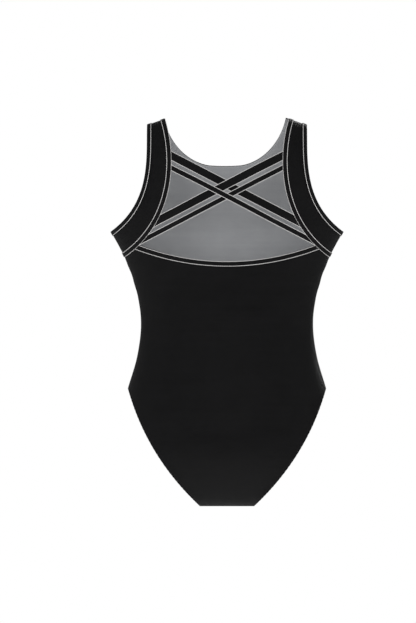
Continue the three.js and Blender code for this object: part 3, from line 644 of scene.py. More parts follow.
def spun_thread(name, colour, dark):
    """Thread: a slanted twist along the stitch with painted shade in its grooves, and fine random
    flecks of darker colour.
    """
    material = bpy.data.materials.new(name)
    material.use_nodes = True
    n = Nodes(material.node_tree)
    place = n.add("ShaderNodeTexCoord").outputs["Object"]
    twist = n.add("ShaderNodeTexWave",
                  {"Vector": place, "Scale": 900.0, "Distortion": 1.5, "Detail": 1.0},
                  bands_direction="DIAGONAL")
    fleck = n.add("ShaderNodeTexNoise", {"Vector": place, "Scale": 700.0, "Detail": 2.0})
    flecks = n.math("MULTIPLY", fleck.outputs[0], 0.5)
    # Painted shade: the twist's wave darkens the grooves of the twist; the flecks vary at random.
    tone_with_painted_shade = n.math("ADD", n.math("MULTIPLY", twist.outputs[1], 0.5), flecks)
    base = between(n, tone_with_painted_shade, dark, colour)
    return finish_of(n, material, base, twist.outputs[1], 0.00006, 0.55, 0.05)


elastic_braid = braid("elastic_braid", (0.72, 0.71, 0.67))
contrast_thread = spun_thread("pale_thread", (0.74, 0.725, 0.715), (0.46, 0.45, 0.445))
serging_thread = spun_thread("dark_thread", (0.05, 0.05, 0.052), (0.015, 0.015, 0.016))
print("materials:", [m.name for m in bpy.data.materials])

# %% [markdown]
# The front is one piece of cloth from shoulder to crotch, with its own short straps. It is filled
# in five parts: two straps, the chest between the armholes, the trunk, and the part between the
# legs. The lining is cut to the same outline and lies inside it.

# %% Front cloth and its lining
ACROSS, STRAP, SIDE = 140, 17, 34
CHEST_FOOT, THIGH_TOP = mix(10, UNDERARM, 0.77), mix(HIP, LENGTH, 0.34)
STRAP_SHARE = 0.41


def bottom_part(face, edge):
    """The part between the legs, and the row above it that the trunk ends in."""
    top = even(face, level_line(edge, -THIGH_TOP), ACROSS)
    leg = even(face, edge_part(edge, -THIGH_TOP, -LENGTH), 46)
    foot_x = np.linspace(-leg[-1, 0], leg[-1, 0], ACROSS)
    foot = np.stack([foot_x, np.full(ACROSS, -LENGTH)], axis=-1)
    rows = fill(face, top, foot, mirrored(leg), leg)
    hip = even(face, edge_part(edge, -THIGH_TOP, LEG_TOP[1]), SIDE)
    hip[-1] = LEG_TOP
    return rows, join_up(mirrored(hip)[::-1], top, hip)


def front_strap(side):
    """The front's own short strap, and the line it ends in at the chest."""
    neck = even(FRONT, front_neck(side, np.linspace(0, STRAP_SHARE, 400)), 26)
    outer = edge_part(armhole_front, SHOULDER_END[1], neck[-1, 1])
    outer[0] = SHOULDER_END
    outer = even(FRONT, outer, 26) * (side, 1)
    top = outer[0] + (neck[0] - outer[0]) * np.linspace(0, 1, STRAP)[:, None]
    foot = outer[-1] + (neck[-1] - outer[-1]) * np.linspace(0, 1, STRAP)[:, None]
    return fill(FRONT, top, foot, outer, neck), foot


strap_left, left_foot = front_strap(LEFT)
strap_right, right_foot = front_strap(RIGHT)
middle = ACROSS + 2 - 2 * STRAP
neck_line = np.concatenate([
    front_neck(LEFT, np.linspace(STRAP_SHARE, 1, 300)),
    front_neck(RIGHT, np.linspace(1, STRAP_SHARE, 300)),
])
chest_top = join_up(left_foot, even(FRONT, neck_line, middle), right_foot[::-1])
arm = {side: edge_part(armhole_front, foot[0, 1], -CHEST_FOOT) * (side, 1)
       for side, foot in ((LEFT, left_foot), (RIGHT, right_foot))}
chest_foot = even(FRONT, level_line(armhole_front, -CHEST_FOOT), ACROSS)
chest = fill(FRONT, chest_top, chest_foot, even(FRONT, arm[LEFT], 26), even(FRONT, arm[RIGHT], 26))

underarm = even(FRONT, edge_part(armhole_front, -CHEST_FOOT, -UNDERARM - WRAP), SIDE)
front_bottom, front_legs = bottom_part(FRONT, leg_front)
front_side = side_seam(-UNDERARM - WRAP, LEG_TOP[1])[np.linspace(0, 399, 84).astype(int)]
underarm[-1] = front_side[0]
trunk_top = join_up(mirrored(underarm)[::-1], chest_foot, underarm)
front_trunk = fill(FRONT, trunk_top, front_legs, mirrored(front_side), front_side)

front_parts = [strap_left, strap_right, chest, front_trunk, front_bottom]
front_shell = cloth("front_shell", FRONT, front_parts, SHELL, shell_knit)
front_lining = cloth("front_lining_cloth", FRONT, front_parts, LINING, lining_knit)
print("front cloth:", len(front_shell.data.polygons), "faces")

# %% [markdown]
# The back panel's upper corners and the ends of the scoop's trims all stop at the bands' finished
# edge, so that edge is traced first, just outside the band's own cut edge. A path like this also
# carries the way along it and the way into the cloth, for everything that is sewn beside it.

# %% Trim paths, and where the scoop meets the bands


def trim_path(points, toward, closed=False):
    """Where a trim runs: points on the form, the way along it, and the way into the cloth."""
    if closed:
        along = unit(np.roll(points, -1, axis=0) - np.roll(points, 1, axis=0))
    else:
        along = unit(np.gradient(points, axis=0))
    inward = unit(np.cross(normals(points), along))
    middle = len(points) // (4 if closed else 2)
    if inward[middle] @ np.array(toward, float) < 0:
        inward = -inward
    return {"points": points, "along": along, "inward": inward, "closed": closed}


def beside(path, across, out=0.0):
    """A line alongside a path: across is measured into the cloth, out along its normals."""
    line = settle(path["points"] + path["inward"] * across)
    return lifted(line, np.full(len(line), out))


def on_face(face, side, edge, count):
    """Points on the form along a cut edge."""
    line = even(face, edge, count)
    return skin(face, side * line[:, 0], line[:, 1])


def band_edge(side):
    return trim_path(on_face(BACK, side, band_inner, 230), (side, 0, 0))


def in_plane(path, across):
    """A line beside a path, seen flat from the back, as (x, z)."""
    return settle(path["points"] + path["inward"] * across)[:, [0, 2]]


BUTT_GAP = 0.3
fold = in_plane(band_edge(RIGHT), -WRAP)
butt = in_plane(band_edge(RIGHT), -WRAP - BUTT_GAP)
butt[-1] = on_side(butt[-1, 1])


def scoop_end_at(inset):
    """Where the scoop, or a line inset below it, meets the right band."""
    gap = butt[:, 1] - scoop(butt[:, 0], inset)
    i = np.where(gap < 0)[0][0]
    return mix(butt[i - 1], butt[i], gap[i - 1] / (gap[i - 1] - gap[i]))


def scoop_arc(inset, count=500):
    """The scoop, or a line inset below it, from band to band."""
    end = scoop_end_at(inset)[0]
    x = np.linspace(-end, end, count)
    return np.stack([x, scoop(x, inset)], axis=-1)


corner = scoop_end_at(WRAP)
lower = np.concatenate([[corner], butt[butt[:, 1] < corner[1]]])
print("scoop meets the bands at", corner.round(1))

# %% [markdown]
# Two broad bands run down from the shoulders to the side seams and frame the open back. Each is a
# strip between the armhole and its inner edge. The back panel starts below them, at the scoop,
# and ends at the legs and the crotch, where a second layer lines the gusset. All of them are
# filled between their edges in the same way as the front.

# %% Bands and back cloth
GUSSET_RISE = 62

bands = {}
for side, name in SIDES:
    outer, inner = even(BACK, armhole_back, 110), even(BACK, band_inner, 110)
    top = outer[0] + (inner[0] - outer[0]) * np.linspace(0, 1, 22)[:, None]
    foot = side_seam(outer[-1, 1], inner[-1, 1])[np.linspace(0, 399, 22).astype(int)]
    rows = fill(BACK, *(edge * (side, 1) for edge in (top, foot, outer, inner)))
    bands[name] = cloth("band_" + name, BACK, [rows], SHELL, shell_knit)

scoop_line = scoop_arc(WRAP)
beside_band = even(BACK, lower, SIDE)
back_top = join_up(mirrored(beside_band)[::-1], even(BACK, scoop_line, ACROSS), beside_band)
back_bottom, back_legs = bottom_part(BACK, leg_back)
back_side = side_seam(butt[-1, 1], LEG_TOP[1])[np.linspace(0, 399, 78).astype(int)]
back_trunk = fill(BACK, back_top, back_legs, mirrored(back_side), back_side)
back_shell = cloth("back_shell", BACK, [back_trunk, back_bottom], SHELL, shell_knit)

gusset_rows = back_bottom[back_bottom[:, 0, 2] < GUSSET_RISE - LENGTH]
gusset = cloth("gusset_lining", BACK, [gusset_rows], GUSSET, lining_knit)
print("back cloth:", len(back_shell.data.polygons), "faces")

# %% [markdown]
# Tapes, elastics and hems all have one outline that follows an edge of the cloth. A curve with a
# bevel would turn with its own frame and drift off the body, so each is swept here: every point of
# its outline is settled onto the form, then lifted to its own layer. Between the stitches a tape
# rises very slightly, as a stitched tape does.

# %% Sweeping an outline along an edge


def loft(name, rings, outline, material, closed=False):
    """A closed skin over rings of points that go round one outline, with a UV map in metres."""
    count, size = rings.shape[:2]
    faces = []
    for i in range(count if closed else count - 1):
        j = (i + 1) % count
        for k in range(size):
            m = (k + 1) % size
            faces.append((i * size + k, i * size + m, j * size + m, j * size + k))
    if not closed:
        for ring in (0, (count - 1) * size):
            faces += [(ring + k, ring + k + 1, ring + size - 2 - k, ring + size - 1 - k)
                      for k in range(size // 2 - 1)]
    run, rim = length_along(rings[:, 0]), length_along(outline)
    uv = np.stack(np.meshgrid(run, rim, indexing="ij"), axis=-1).reshape(-1, 2) * MM
    return turned_out(new_piece(name, rings.reshape(-1, 3), faces, uv, material))


def sweep(name, path, outline, material, pucker=0.0):
    """Carries a closed outline of (across, out) along a path."""
    place = settle(path["points"][:, None] + path["inward"][:, None] * outline[None, :, :1])
    rise = puckers(path["points"], outline, pucker)
    return loft(name, lifted(place, outline[None, :, 1] + rise), outline, material, path["closed"])


def puckers(points, outline, height, pitch=6.0):
    """The slight rise of a tape's outer leg between its stitches."""
    wave = np.sin(2 * math.pi * length_along(points) / pitch)
    return height * wave[:, None] * (outline[:, 1] > 0.9)[None]


def arc_sweep(name, outline, count, material, pucker=0.0):
    """Carries an outline along the scoop, each of its lines ending where it meets the bands."""
    lines = [on_face(BACK, 1, scoop_arc(WRAP + across), count) for across, _ in outline]
    place = np.stack(lines, axis=1)
    rise = puckers(place[:, 0], outline, pucker)
    return loft(name, lifted(place, outline[None, :, 1] + rise), outline, material)


def turned_out(piece):
    """Turns a closed piece's faces outwards."""
    shape = bmesh.new()
    shape.from_mesh(piece.data)
    bmesh.ops.recalc_face_normals(shape, faces=shape.faces)
    if shape.calc_volume(signed=True) < 0:
        bmesh.ops.reverse_faces(shape, faces=shape.faces)
    shape.to_mesh(piece.data)
    shape.free()
    return piece


print("sweeping helpers ready")

# %% [markdown]
# A binding is a tape of the shell cloth folded over the raw edge, with a rounded fold outside and
# both legs lying flat. The front neckline is only turned in, so it gets a narrow roll, and the leg
# openings have a facing turned to the inside. Each outline goes round the outer face of the tape
# and back along its inner face, as (across, out) in millimetres: into the cloth, and off it.

# %% Outlines of the tapes
BINDING, REACH, FOLD = 8.0, 7.0, 1.6
TAPE_MIDDLE, HEM_MIDDLE = -0.85, -1.35
OVER, UNDER = (1.1, 1.5), (-2.8, -3.2)  # inner and outer face of the legs over and under the cloth


def bulge(centre, half_width, half_height, start, end):
    """Points of a squared-off half ellipse that bulges beyond the cloth's edge."""
    turn = np.radians(np.linspace(start, end, 9))
    across = centre[0] - half_width * np.abs(np.cos(turn)) ** 0.7
    out = centre[1] + half_height * np.sign(np.sin(turn)) * np.abs(np.sin(turn)) ** 0.7
    return np.stack([across, out], axis=-1)


def tape_leg(out, inwards=False):
    """One face of a flat leg, run towards the fold or, inwards, away from it."""
    run = np.linspace(REACH, FOLD, 4)
    return np.stack([run[::-1] if inwards else run, np.full(4, out)], axis=-1)


binding_outline = np.concatenate([
    tape_leg(OVER[1]), bulge((0.6, TAPE_MIDDLE), 1.6, 2.35, 90, -90), tape_leg(UNDER[1], True),
    tape_leg(UNDER[0]), bulge((0.6, TAPE_MIDDLE), 1.2, 1.95, -90, 90), tape_leg(OVER[0], True),
])
neck_roll_outline = np.concatenate([
    bulge((-0.05, TAPE_MIDDLE), 0.4, 1.3, 90, -90), bulge((-0.05, TAPE_MIDDLE), 0.1, 1.1, -90, 90),
])
facing_outline = np.concatenate([
    bulge((0.2, HEM_MIDDLE), 1.2, 1.85, 84, -90), tape_leg(UNDER[1], True),
    tape_leg(UNDER[0]), bulge((0.2, HEM_MIDDLE), 0.8, 1.45, -90, 84),
])
print("outline points:", len(binding_outline), len(neck_roll_outline), len(facing_outline))

# %% [markdown]
# The armholes and the leg openings are closed loops, down the back edge and up the front. The
# bands' inner edges, the neckline and the scoop are open lines that end at a seam. The scoop's tape
# is cut along the bands, so each line of its outline runs to its own meeting point.

# %% Bindings, hems and the neckline


def loop_path(side, back, front, count):
    """Right round an opening, down the back edge and up the front edge."""
    down, up = on_face(BACK, side, back, count), on_face(FRONT, side, front, count)[::-1]
    return trim_path(np.concatenate([down[:-1], up[:-1]]), (-side, 0, 0), closed=True)


armholes = {side: loop_path(side, armhole_back, armhole_front, 190) for side in (LEFT, RIGHT)}
legs = {side: loop_path(side, leg_back, leg_front, 200) for side in (LEFT, RIGHT)}
half_neck = np.linspace(0, 1, 400)
neck_line = join_up(front_neck(LEFT, half_neck), front_neck(RIGHT, half_neck[::-1]))
neck = trim_path(on_face(FRONT, 1, neck_line, 130), (0, 0, -1))
scoop_path = trim_path(on_face(BACK, 1, scoop_line, 250), (0, 0, -1))
band_edges = {side: band_edge(side) for side in (LEFT, RIGHT)}

PUCKER = 0.1
trims = {}
for side, name in SIDES:
    for kind, paths in (("armhole", armholes), ("band_edge", band_edges)):
        trims[f"{kind}_binding_{name}"] = sweep(
            f"{kind}_tape_{name}", paths[side], binding_outline, tape_knit, PUCKER)
    trims["leg_facing_" + name] = sweep("leg_hem_" + name, legs[side], facing_outline, tape_knit)
trims["back_scoop_binding"] = arc_sweep("scoop_tape", binding_outline, 250, tape_knit, PUCKER)
neck_roll = sweep("neck_roll", neck, neck_roll_outline, tape_knit)
print("trims:", len(trims))

# %% [markdown]
# Inside every bound edge and every strap runs a flat braided elastic. It is nearly hidden, but it
# is what holds the edges to the body, so it is made as the real braid is: a ribbon with
# lengthwise cords.

# %% Elastics


def ribbed(half, thickness, cords):
    """The outline of a flat braid with cords along it, centred on 0."""
    share = np.linspace(-1, 1, cords * 4 + 1)
    edge = (1 - share**8) * 0.6 + 0.4
    high = thickness / 2 * edge * (0.8 + 0.2 * np.cos(share * cords * math.pi))
    upper = np.stack([share * half, high], axis=-1)
    return np.concatenate([upper, (upper * (1, -1))[::-1]])


def trimmed(path, by):
    """An open path without its first and last few points."""
    kept = {key: value[by:-by] for key, value in path.items() if key != "closed"}
    return {**kept, "closed": False}


def every_third(path):
    """A coarser path, enough for a piece that is hidden."""
    return {key: value if key == "closed" else value[::3] for key, value in path.items()}


ELASTIC_OUTLINE = ribbed(3.1, 0.5, 5) + (3.35, TAPE_MIDDLE)
elastics = {}
for side, name in SIDES:
    for kind, path in (("armhole", armholes[side]), ("leg", legs[side])):
        elastics[f"{kind}_elastic_{name}"] = sweep(
            f"{kind}_braid_{name}", every_third(path), ELASTIC_OUTLINE, elastic_braid)
    elastics["band_edge_elastic_" + name] = sweep(
        "band_edge_braid_" + name, every_third(trimmed(band_edges[side], 3)), ELASTIC_OUTLINE,
        elastic_braid)
elastics["front_neck_elastic"] = sweep(
    "neck_braid", trimmed(neck, 1), ELASTIC_OUTLINE, elastic_braid)
elastics["back_scoop_elastic"] = sweep(
    "scoop_braid", every_third(trimmed(scoop_path, 3)), ELASTIC_OUTLINE, elastic_braid)
print("elastics:", len(elastics))

# %% [markdown]
# Four straps cross the open back, a wide one and a narrow one from each shoulder. They run
# straight, as taut straps do, and end on the band's finished edge, so their centre lines are found
# first: the narrow strap starts from the scoop's corner, and the wide one lies a clear space above.

# %% Where the straps run
STRAP_ANGLE, WIDE, NARROW = math.radians(27.4), 12.6, 7.8
SPACING, ABOVE_SCOOP = 6.8, 1.5
STRAP_HALF, STRAP_LEVEL = 1.0, 2.4
strap_up = np.array([math.sin(STRAP_ANGLE), math.cos(STRAP_ANGLE)])
strap_fall = np.array([math.cos(STRAP_ANGLE), -math.sin(STRAP_ANGLE)])
near_band = in_plane(band_edge(RIGHT), -WRAP - 1.0)
scoop_end = near_band[near_band[:, 1] < scoop(near_band[:, 0], WRAP)][0]
narrow_line = scoop_end @ strap_up + ABOVE_SCOOP + NARROW / 2
wide_line = narrow_line + (NARROW + WIDE) / 2 + SPACING
crossing_reach = (wide_line - narrow_line) / math.sin(2 * STRAP_ANGLE) + 1.3 * WIDE


def meet_band(start, direction, gap=0.15):
    """Where a line in the seam plane meets the band's finished edge."""
    far = np.cross(np.stack([fold - start]), direction)[0]
    i = np.where(np.diff(np.sign(far)) != 0)[0]
    share = far[i] / (far[i] - far[i + 1])
    hits = fold[i] + (fold[i + 1] - fold[i]) * share[:, None]
    ahead = (hits - start) @ direction
    return start + direction * (ahead[ahead > 0].min() - gap)


print("straps cross within", round(crossing_reach), "mm of the middle")

# %% [markdown]
# Each strap is a tube of cloth pressed flat over its elastic. Where they cross, they pass over and
# under one another: the wide strap from the left shoulder lies lowest, and the narrow one from the
# left lies on top. Every strap is carried along its line at its own height, and comes down to the
# band in a long ramp, because a short one would show as a kink.

# %% Strap tubes


def strap_outline(width, wall=0.35):
    """A flattened tube, its cut edges meeting on the body side, with rounded folds."""
    half, round_, mid = width / 2 - wall / 2, 0.7, STRAP_HALF - wall / 2
    turn = np.radians(np.linspace(-90, 90, 7))
    right = np.stack([half - round_ + round_ * np.cos(turn), mid * np.sin(turn)], axis=-1)
    left = (right * (-1, 1))[::-1]
    flat = np.stack([np.linspace(half - round_, round_ - half, 5)[1:-1], np.full(3, mid)], axis=-1)
    core = np.concatenate([[(0.35, -mid)], right, flat, left, [(-0.35, -mid)]])
    slope = unit(np.gradient(core, axis=0))
    side = np.stack([slope[:, 1], -slope[:, 0]], axis=-1) * wall / 2
    return np.concatenate([core + side, (core - side)[::-1]])


def strap_rings(line, outline, order, hand):
    """Carries an outline along a strap, from one band down to the other."""
    ends = []
    for across, _ in outline:
        middle = strap_up * (line + across)
        up = mirrored(meet_band(mirrored(middle), strap_fall * (1, -1)))
        ends.append((up, meet_band(middle, strap_fall)))
    start, end = (np.array([pair[k] for pair in ends]) for k in (0, 1))
    share = np.linspace(0, 1, 120)[:, None, None]
    flat = start[None] + (end - start)[None] * share
    place = skin(BACK, flat[..., 0], flat[..., 1])
    ramp = np.clip((np.abs(flat[..., 0]) - crossing_reach) / (1.3 * crossing_reach), 0, 1)
    height = order * STRAP_LEVEL * (1 - ramp * ramp * (3 - 2 * ramp))
    raised = place + normals(place) * (outline[None, :, 1] + height)[..., None]
    raised[..., 0] *= hand
    return raised


strap_plan = [  # name, centre line, width, order from the body outwards, side it ends on
    ("wide_strap_left", wide_line, WIDE, 0, RIGHT),
    ("wide_strap_right", wide_line, WIDE, 1, LEFT),
    ("narrow_strap_right", narrow_line, NARROW, 1, LEFT),
    ("narrow_strap_left", narrow_line, NARROW, 2, RIGHT),
]
straps = {}
for name, line, width, order, hand in strap_plan:
    tube = strap_outline(width)
    core = ribbed(width / 2 - 0.8, 0.5, 5 if width > 10 else 3)
    straps[name] = loft(
        name.replace("strap", "tube"), strap_rings(line, tube, order, hand), tube, tape_knit)
    elastics[name + "_elastic"] = loft(
        name.replace("strap", "braid"), strap_rings(line, core, order, hand), core, elastic_braid)
print("straps:", list(straps))

# %% [markdown]
# Stitches repeat hundreds of times along their lines, which is what Geometry Nodes are for. Each
# line is a set of points that carry the way along and the way out of the cloth, and the node tree
# puts one small flattened stitch on each, turned to both, with a slight lean that differs from one
# to the next under a fixed seed.

# %% Stitch tree


def stitch_tree():
    """The tree: one small ball, drawn out into a stitch, on every point."""
    tree = bpy.data.node_groups.new("stitch_line", "GeometryNodeTree")
    tree.interface.new_socket("Geometry", in_out="INPUT", socket_type="NodeSocketGeometry")
    for name, value in (("Length", 0.0026), ("Width", 0.0008), ("Height", 0.0005), ("Lean", 0.05)):
        made = tree.interface.new_socket(name, in_out="INPUT", socket_type="NodeSocketFloat")
        made.default_value = value
    tree.interface.new_socket("Material", in_out="INPUT", socket_type="NodeSocketMaterial")
    tree.interface.new_socket("Geometry", in_out="OUTPUT", socket_type="NodeSocketGeometry")
    n = Nodes(tree)
    given = n.add("NodeGroupInput")
    ball = n.add("GeometryNodeMeshUVSphere", {"Segments": 8, "Rings": 5, "Radius": 0.5})
    along = n.add("GeometryNodeInputNamedAttribute", {"Name": "along"}, data_type="FLOAT_VECTOR")
    out = n.add("GeometryNodeInputNamedAttribute", {"Name": "out"}, data_type="FLOAT_VECTOR")
    turned = n.add("FunctionNodeAlignRotationToVector", {"Vector": along}, axis="X")
    upright = n.add("FunctionNodeAlignRotationToVector", {"Rotation": turned, "Vector": out},
                    axis="Z", pivot_axis="X")
    size = n.add("ShaderNodeCombineXYZ")
    for axis, name in (("X", "Length"), ("Y", "Width"), ("Z", "Height")):
        n.set(size.inputs[axis], given.outputs[name])
    placed = n.add("GeometryNodeInstanceOnPoints", {
        "Points": given.outputs["Geometry"], "Instance": ball, "Rotation": upright, "Scale": size,
    })
    lean = n.add("FunctionNodeRandomValue", {"Seed": 7}, data_type="FLOAT")
    n.set(lean.inputs[2], n.math("MULTIPLY", given.outputs["Lean"], -1.0))
    n.set(lean.inputs[3], given.outputs["Lean"])
    turn = n.add("ShaderNodeCombineXYZ", {"Z": lean.outputs[1]})
    leaning = n.add("GeometryNodeRotateInstances", {"Instances": placed, "Rotation": turn})
    plain = n.add("GeometryNodeRealizeInstances", {"Geometry": leaning})
    finish = n.add(
        "GeometryNodeSetMaterial", {"Geometry": plain, "Material": given.outputs["Material"]})
    n.add("NodeGroupOutput", {"Geometry": finish})
    return tree


tree = stitch_tree()
socket = {item.name: item.identifier
          for item in tree.interface.items_tree if item.in_out == "INPUT"}
print("stitch inputs:", list(socket))

# %% [markdown]
# A row starts as a line beside an edge. It is cut into even pitches, the stitch tree is run on its
# points, and the result is kept as a plain mesh, so that nothing live is left on the piece.

# %% Rows from lines


def resampled(line, out, pitch, closed=False):
    """Evenly pitched places along a line, with the way along and the way out at each."""
    if closed:
        line, out = (np.concatenate([v, v[:1]]) for v in (line, out))
    run = length_along(line)
    count = max(2, round(run[-1] / pitch))
    at = (np.arange(count) + 0.5) * run[-1] / count
    place = np.stack([np.interp(at, run, line[:, k]) for k in range(3)], axis=-1)
    up = unit(np.stack([np.interp(at, run, out[:, k]) for k in range(3)], axis=-1))
    return place, unit(np.gradient(place, axis=0)), up


def stitches(name, place, along, out, material, **sizes):
    """A row of stitches as one plain mesh."""
    mesh = bpy.data.meshes.new(name)
    mesh.from_pydata((place * MM).tolist(), [], [])
    for key, value in (("along", along), ("out", out)):
        mesh.attributes.new(key, "FLOAT_VECTOR", "POINT").data.foreach_set("vector", value.ravel())
    piece = bpy.data.objects.new(name, mesh)
    scene.collection.objects.link(piece)
    row = piece.modifiers.new("row", "NODES")
    row.node_group = tree
    row[socket["Material"]] = material
    for key, value in sizes.items():
        row[socket[key]] = value
    piece.update_tag()
    graph = bpy.context.evaluated_depsgraph_get()
    made = bpy.data.meshes.new_from_object(piece.evaluated_get(graph))
    piece.modifiers.clear()
    piece.data = made
    made.name = name
    made.shade_smooth()
    for key in ("along", "out"):
        if key in made.attributes:
            made.attributes.remove(made.attributes[key])
    return piece


def row_beside(name, path, across, out, pitch, **sizes):
    line = beside(path, across, out)
    place, along, up = resampled(line, normals(line), pitch, path["closed"])
    return stitches(name, place, along, up, contrast_thread, **sizes)


def row_on_scoop(name, across, out, pitch, **sizes):
    line = on_face(BACK, 1, scoop_arc(WRAP + across), 300)
    place, along, up = resampled(lifted(line, np.full(300, out)), normals(line), pitch)
    return stitches(name, place, along, up, contrast_thread, **sizes)


# %% [markdown]
# Rows of pale stitches hold the bindings down, one stitch to every 3 mm, a casing's width in from
# each bound edge. A finer pale edging runs along the folds of the bands, the scoop and both sides
# of every strap, where the cut cloth is oversewn.

# %% Rows of stitches and the pale edging
ROW = dict(across=6.1, out=1.75, pitch=3.0, Length=0.0035, Width=0.001, Height=0.0006, Lean=0.06)
EDGE = dict(Length=0.0018, Width=0.00095, Height=0.0007, Lean=0.14)
EDGE_PITCH = 1.15
EDGING = dict(across=-0.85, out=0.7, pitch=EDGE_PITCH, **EDGE)

rows = {}
for side, name in SIDES:
    for kind, paths in (("armhole", armholes), ("band_edge", band_edges)):
        rows[f"{kind}_stitching_{name}"] = row_beside(f"{kind}_row_{name}", paths[side], **ROW)
rows["back_scoop_stitching"] = row_on_scoop("scoop_row", **ROW)

edgings = {}
for side, name in SIDES:
    edgings["band_edging_" + name] = row_beside("band_edging_" + name, band_edges[side], **EDGING)
edgings["scoop_edging"] = row_on_scoop("scoop_edging", **EDGING)
for name, line, width, order, hand in strap_plan:
    both = []
    for sign in (-1, 1):
        track = np.array([(sign * (width / 2 + 0.05), 0.55), (sign * (width / 2 - 1), 0.55)])
        edge = strap_rings(line, track, order, hand)[:, 0]
        both.append(resampled(edge, normals(settle(edge)), EDGE_PITCH))
    place, along, up = (np.concatenate([row[k] for row in both]) for k in range(3))
    edgings[name + "_edging"] = stitches(
        name.replace("strap", "edging"), place, along, up, contrast_thread, **EDGE)
print("stitch faces:", sum(len(p.data.polygons) for p in [*rows.values(), *edgings.values()]))

# %% [markdown]
# The seams are serged: a narrow allowance of doubled cloth inside the garment, wrapped by slanted
# overlock stitches. Each seam is a thin strip with two crossing rows of dark stitches on its
# inner face.

# %% Serged seams
ALLOWANCE, STRIP_INNER, STRIP_OUTER = 2.25, -3.65, -3.05  # half width, and the two faces
ACROSS_SEAM = np.array([0, 1, 0])


def seam_path(line):
    """A seam line in the plane between front and back, and the way out of the cloth there."""
    points = np.stack([line[:, 0], np.zeros(len(line)), line[:, 1]], axis=-1)
    return points, unit(normals(points + (0, 1e-3, 0)) * (1, 0, 1))


def seam_strip(name, line):
    points, out = seam_path(line)
    outline = np.array([(-ALLOWANCE, STRIP_INNER), (ALLOWANCE, STRIP_INNER),
                        (ALLOWANCE, STRIP_OUTER), (-ALLOWANCE, STRIP_OUTER)])
    rings = points[:, None] + outline[None, :, :1] * ACROSS_SEAM
    rings = rings + out[:, None] * outline[None, :, 1:]
    rings += (out * relief(points)[:, None])[:, None]
    return loft(name + "_strip", rings, outline, tape_knit)


def overlock(name, line):
    points, out = seam_path(line)
    points = points + out * relief(points)[:, None]
    legs_of_stitch = []
    for sign in (-1, 1):
        place, way, up = resampled(points - out * 3.8, out, 2.0)
        slanted = unit(way * 0.55 + ACROSS_SEAM * sign)
        legs_of_stitch.append((place - up * 0.1 * sign, slanted, up))
    place, way, up = (np.concatenate([leg[k] for leg in legs_of_stitch]) for k in range(3))
    return stitches(name + "_overlock", place, way, up, serging_thread,
                    Length=0.0046, Width=0.0005, Height=0.0004, Lean=0.08)


BINDING_END, CROTCH_HALF = BINDING + 0.5, 44
seams = {}
for side, name in SIDES:
    x = np.linspace(NECK_HALF + BINDING_END, SHOULDER_HALF - BINDING_END, 12)
    z = np.linspace(-BAND_FOOT - BINDING_END, -HIP + BINDING_END, 90)
    seams["shoulder_seam_" + name] = np.stack([side * x, shoulder_line(x)], axis=-1)
    seams["side_seam_" + name] = np.stack([side * half_width(-z), z], axis=-1)
x = np.linspace(BINDING_END - CROTCH_HALF, CROTCH_HALF - BINDING_END, 24)
seams["crotch_seam"] = np.stack([x, np.full(24, -LENGTH)], axis=-1)
strips = {name: seam_strip(name, line) for name, line in seams.items()}
overlocks = {name: overlock(name, line) for name, line in seams.items()}
print("seams:", len(strips))

# %% [markdown]
# The ground is a small pale disc well below the garment, so that views from above and below still
# have something soft to stand before. Light comes from a broad pale surround, a large soft source
# behind the camera that fills the open back, and two long ones at the sides that draw a faint
# sheen along the body's edges.

# %% Ground and light
bpy.ops.mesh.primitive_cylinder_add(vertices=96, radius=2.6, depth=0.02, location=(0, 0, -2.0))
ground = bpy.context.object
ground.name = "ground"
pale = bpy.data.materials.new("pale_ground")
pale.use_nodes = True
n = Nodes(pale.node_tree)
place = n.add("ShaderNodeTexCoord").outputs["Object"]
grain = n.add("ShaderNodeTexNoise", {"Vector": place, "Scale": 3.0}).outputs[0]
finish_of(n, pale, between(n, grain, (0.86,) * 3, (0.9,) * 3), grain, 0.0005, 0.9, 0.0)
glow = next(node for node in pale.node_tree.nodes if node.type == "BSDF_PRINCIPLED")
glow.inputs["Emission Color"].default_value = (1, 1, 1, 1)
glow.inputs["Emission Strength"].default_value = 0.5
ground.data.materials.append(pale)

world = bpy.data.worlds.new("surround")
scene.world = world
world.use_nodes = True
n = Nodes(world.node_tree)
seen = n.add("ShaderNodeLightPath").outputs["Is Camera Ray"]
strength = n.math("ADD", n.math("MULTIPLY", seen, 0.68), 0.32)
shade = n.add("ShaderNodeBackground", {"Color": (1, 1, 1, 1), "Strength": strength})
n.add("ShaderNodeOutputWorld", {"Surface": shade})


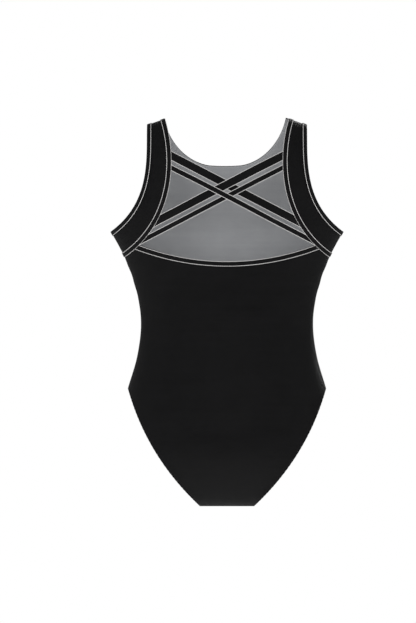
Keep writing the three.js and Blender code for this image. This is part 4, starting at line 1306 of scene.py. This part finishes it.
def soft_light(name, place, target, size, power):
    """A rectangular lamp that faces a target."""
    lamp = bpy.data.lights.new(name, "AREA")
    lamp.shape, lamp.size, lamp.size_y, lamp.energy = "RECTANGLE", size[0], size[1], power
    held = bpy.data.objects.new(name, lamp)
    held.location = place
    way = Vector(target) - Vector(place)
    held.rotation_euler = way.to_track_quat("-Z", "Y").to_euler()
    scene.collection.objects.link(held)


soft_light("back_fill", (0, -2.3, 0.15), (0, 0, -0.2), (2.2, 1.7), 52)
soft_light("front_fill", (0.7, 2.1, 0.6), (0, 0, -0.3), (1.2, 1.2), 24)
soft_light("left_edge", (-1.6, -0.3, 0.1), (0, 0, -0.3), (0.4, 1.6), 9)
soft_light("right_edge", (1.6, -0.2, 0.1), (0, 0, -0.3), (0.4, 1.6), 6)

# %% [markdown]
# Last, each piece is hung on the frame's root, and the frame's solids that it stands for are
# hidden. The knit is worn stretched, so the real pieces are cut smaller than they lie on the body,
# by about a tenth round the body and hardly at all along it; here the cloth pieces' flat maps are
# only read back, and no cut size is given.


def tie(piece, slot, *nodes):
    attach(piece, "root")
    if nodes:
        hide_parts(*nodes)


def cut_size(piece):
    """Reads a cloth piece's flat map back into an array, which nothing then uses."""
    uv = np.empty(2 * len(piece.data.loops))
    piece.data.uv_layers["cloth"].data.foreach_get("uv", uv)


for name, piece in bands.items():
    tie(piece, "shell_fabric", "back_band_" + name)
    cut_size(piece)
tie(front_shell, "shell_fabric", "front_panel")
cut_size(front_shell)
tie(front_lining, "lining_fabric", "front_lining")
cut_size(front_lining)
tie(back_shell, "shell_fabric", "back_panel")
cut_size(back_shell)
tie(gusset, "lining_fabric", "crotch_gusset_lining")
cut_size(gusset)
for node, piece in {**trims, **straps}.items():
    tie(piece, "shell_fabric", node)
for node, piece in elastics.items():
    tie(piece, "elastic", node)
for node, piece in rows.items():
    tie(piece, "contrast_thread", node)
for piece in edgings.values():
    tie(piece, "contrast_thread")
tie(neck_roll, "shell_fabric")
for node, piece in strips.items():
    tie(piece, "serging_thread", node)
for piece in overlocks.values():
    tie(piece, "serging_thread")
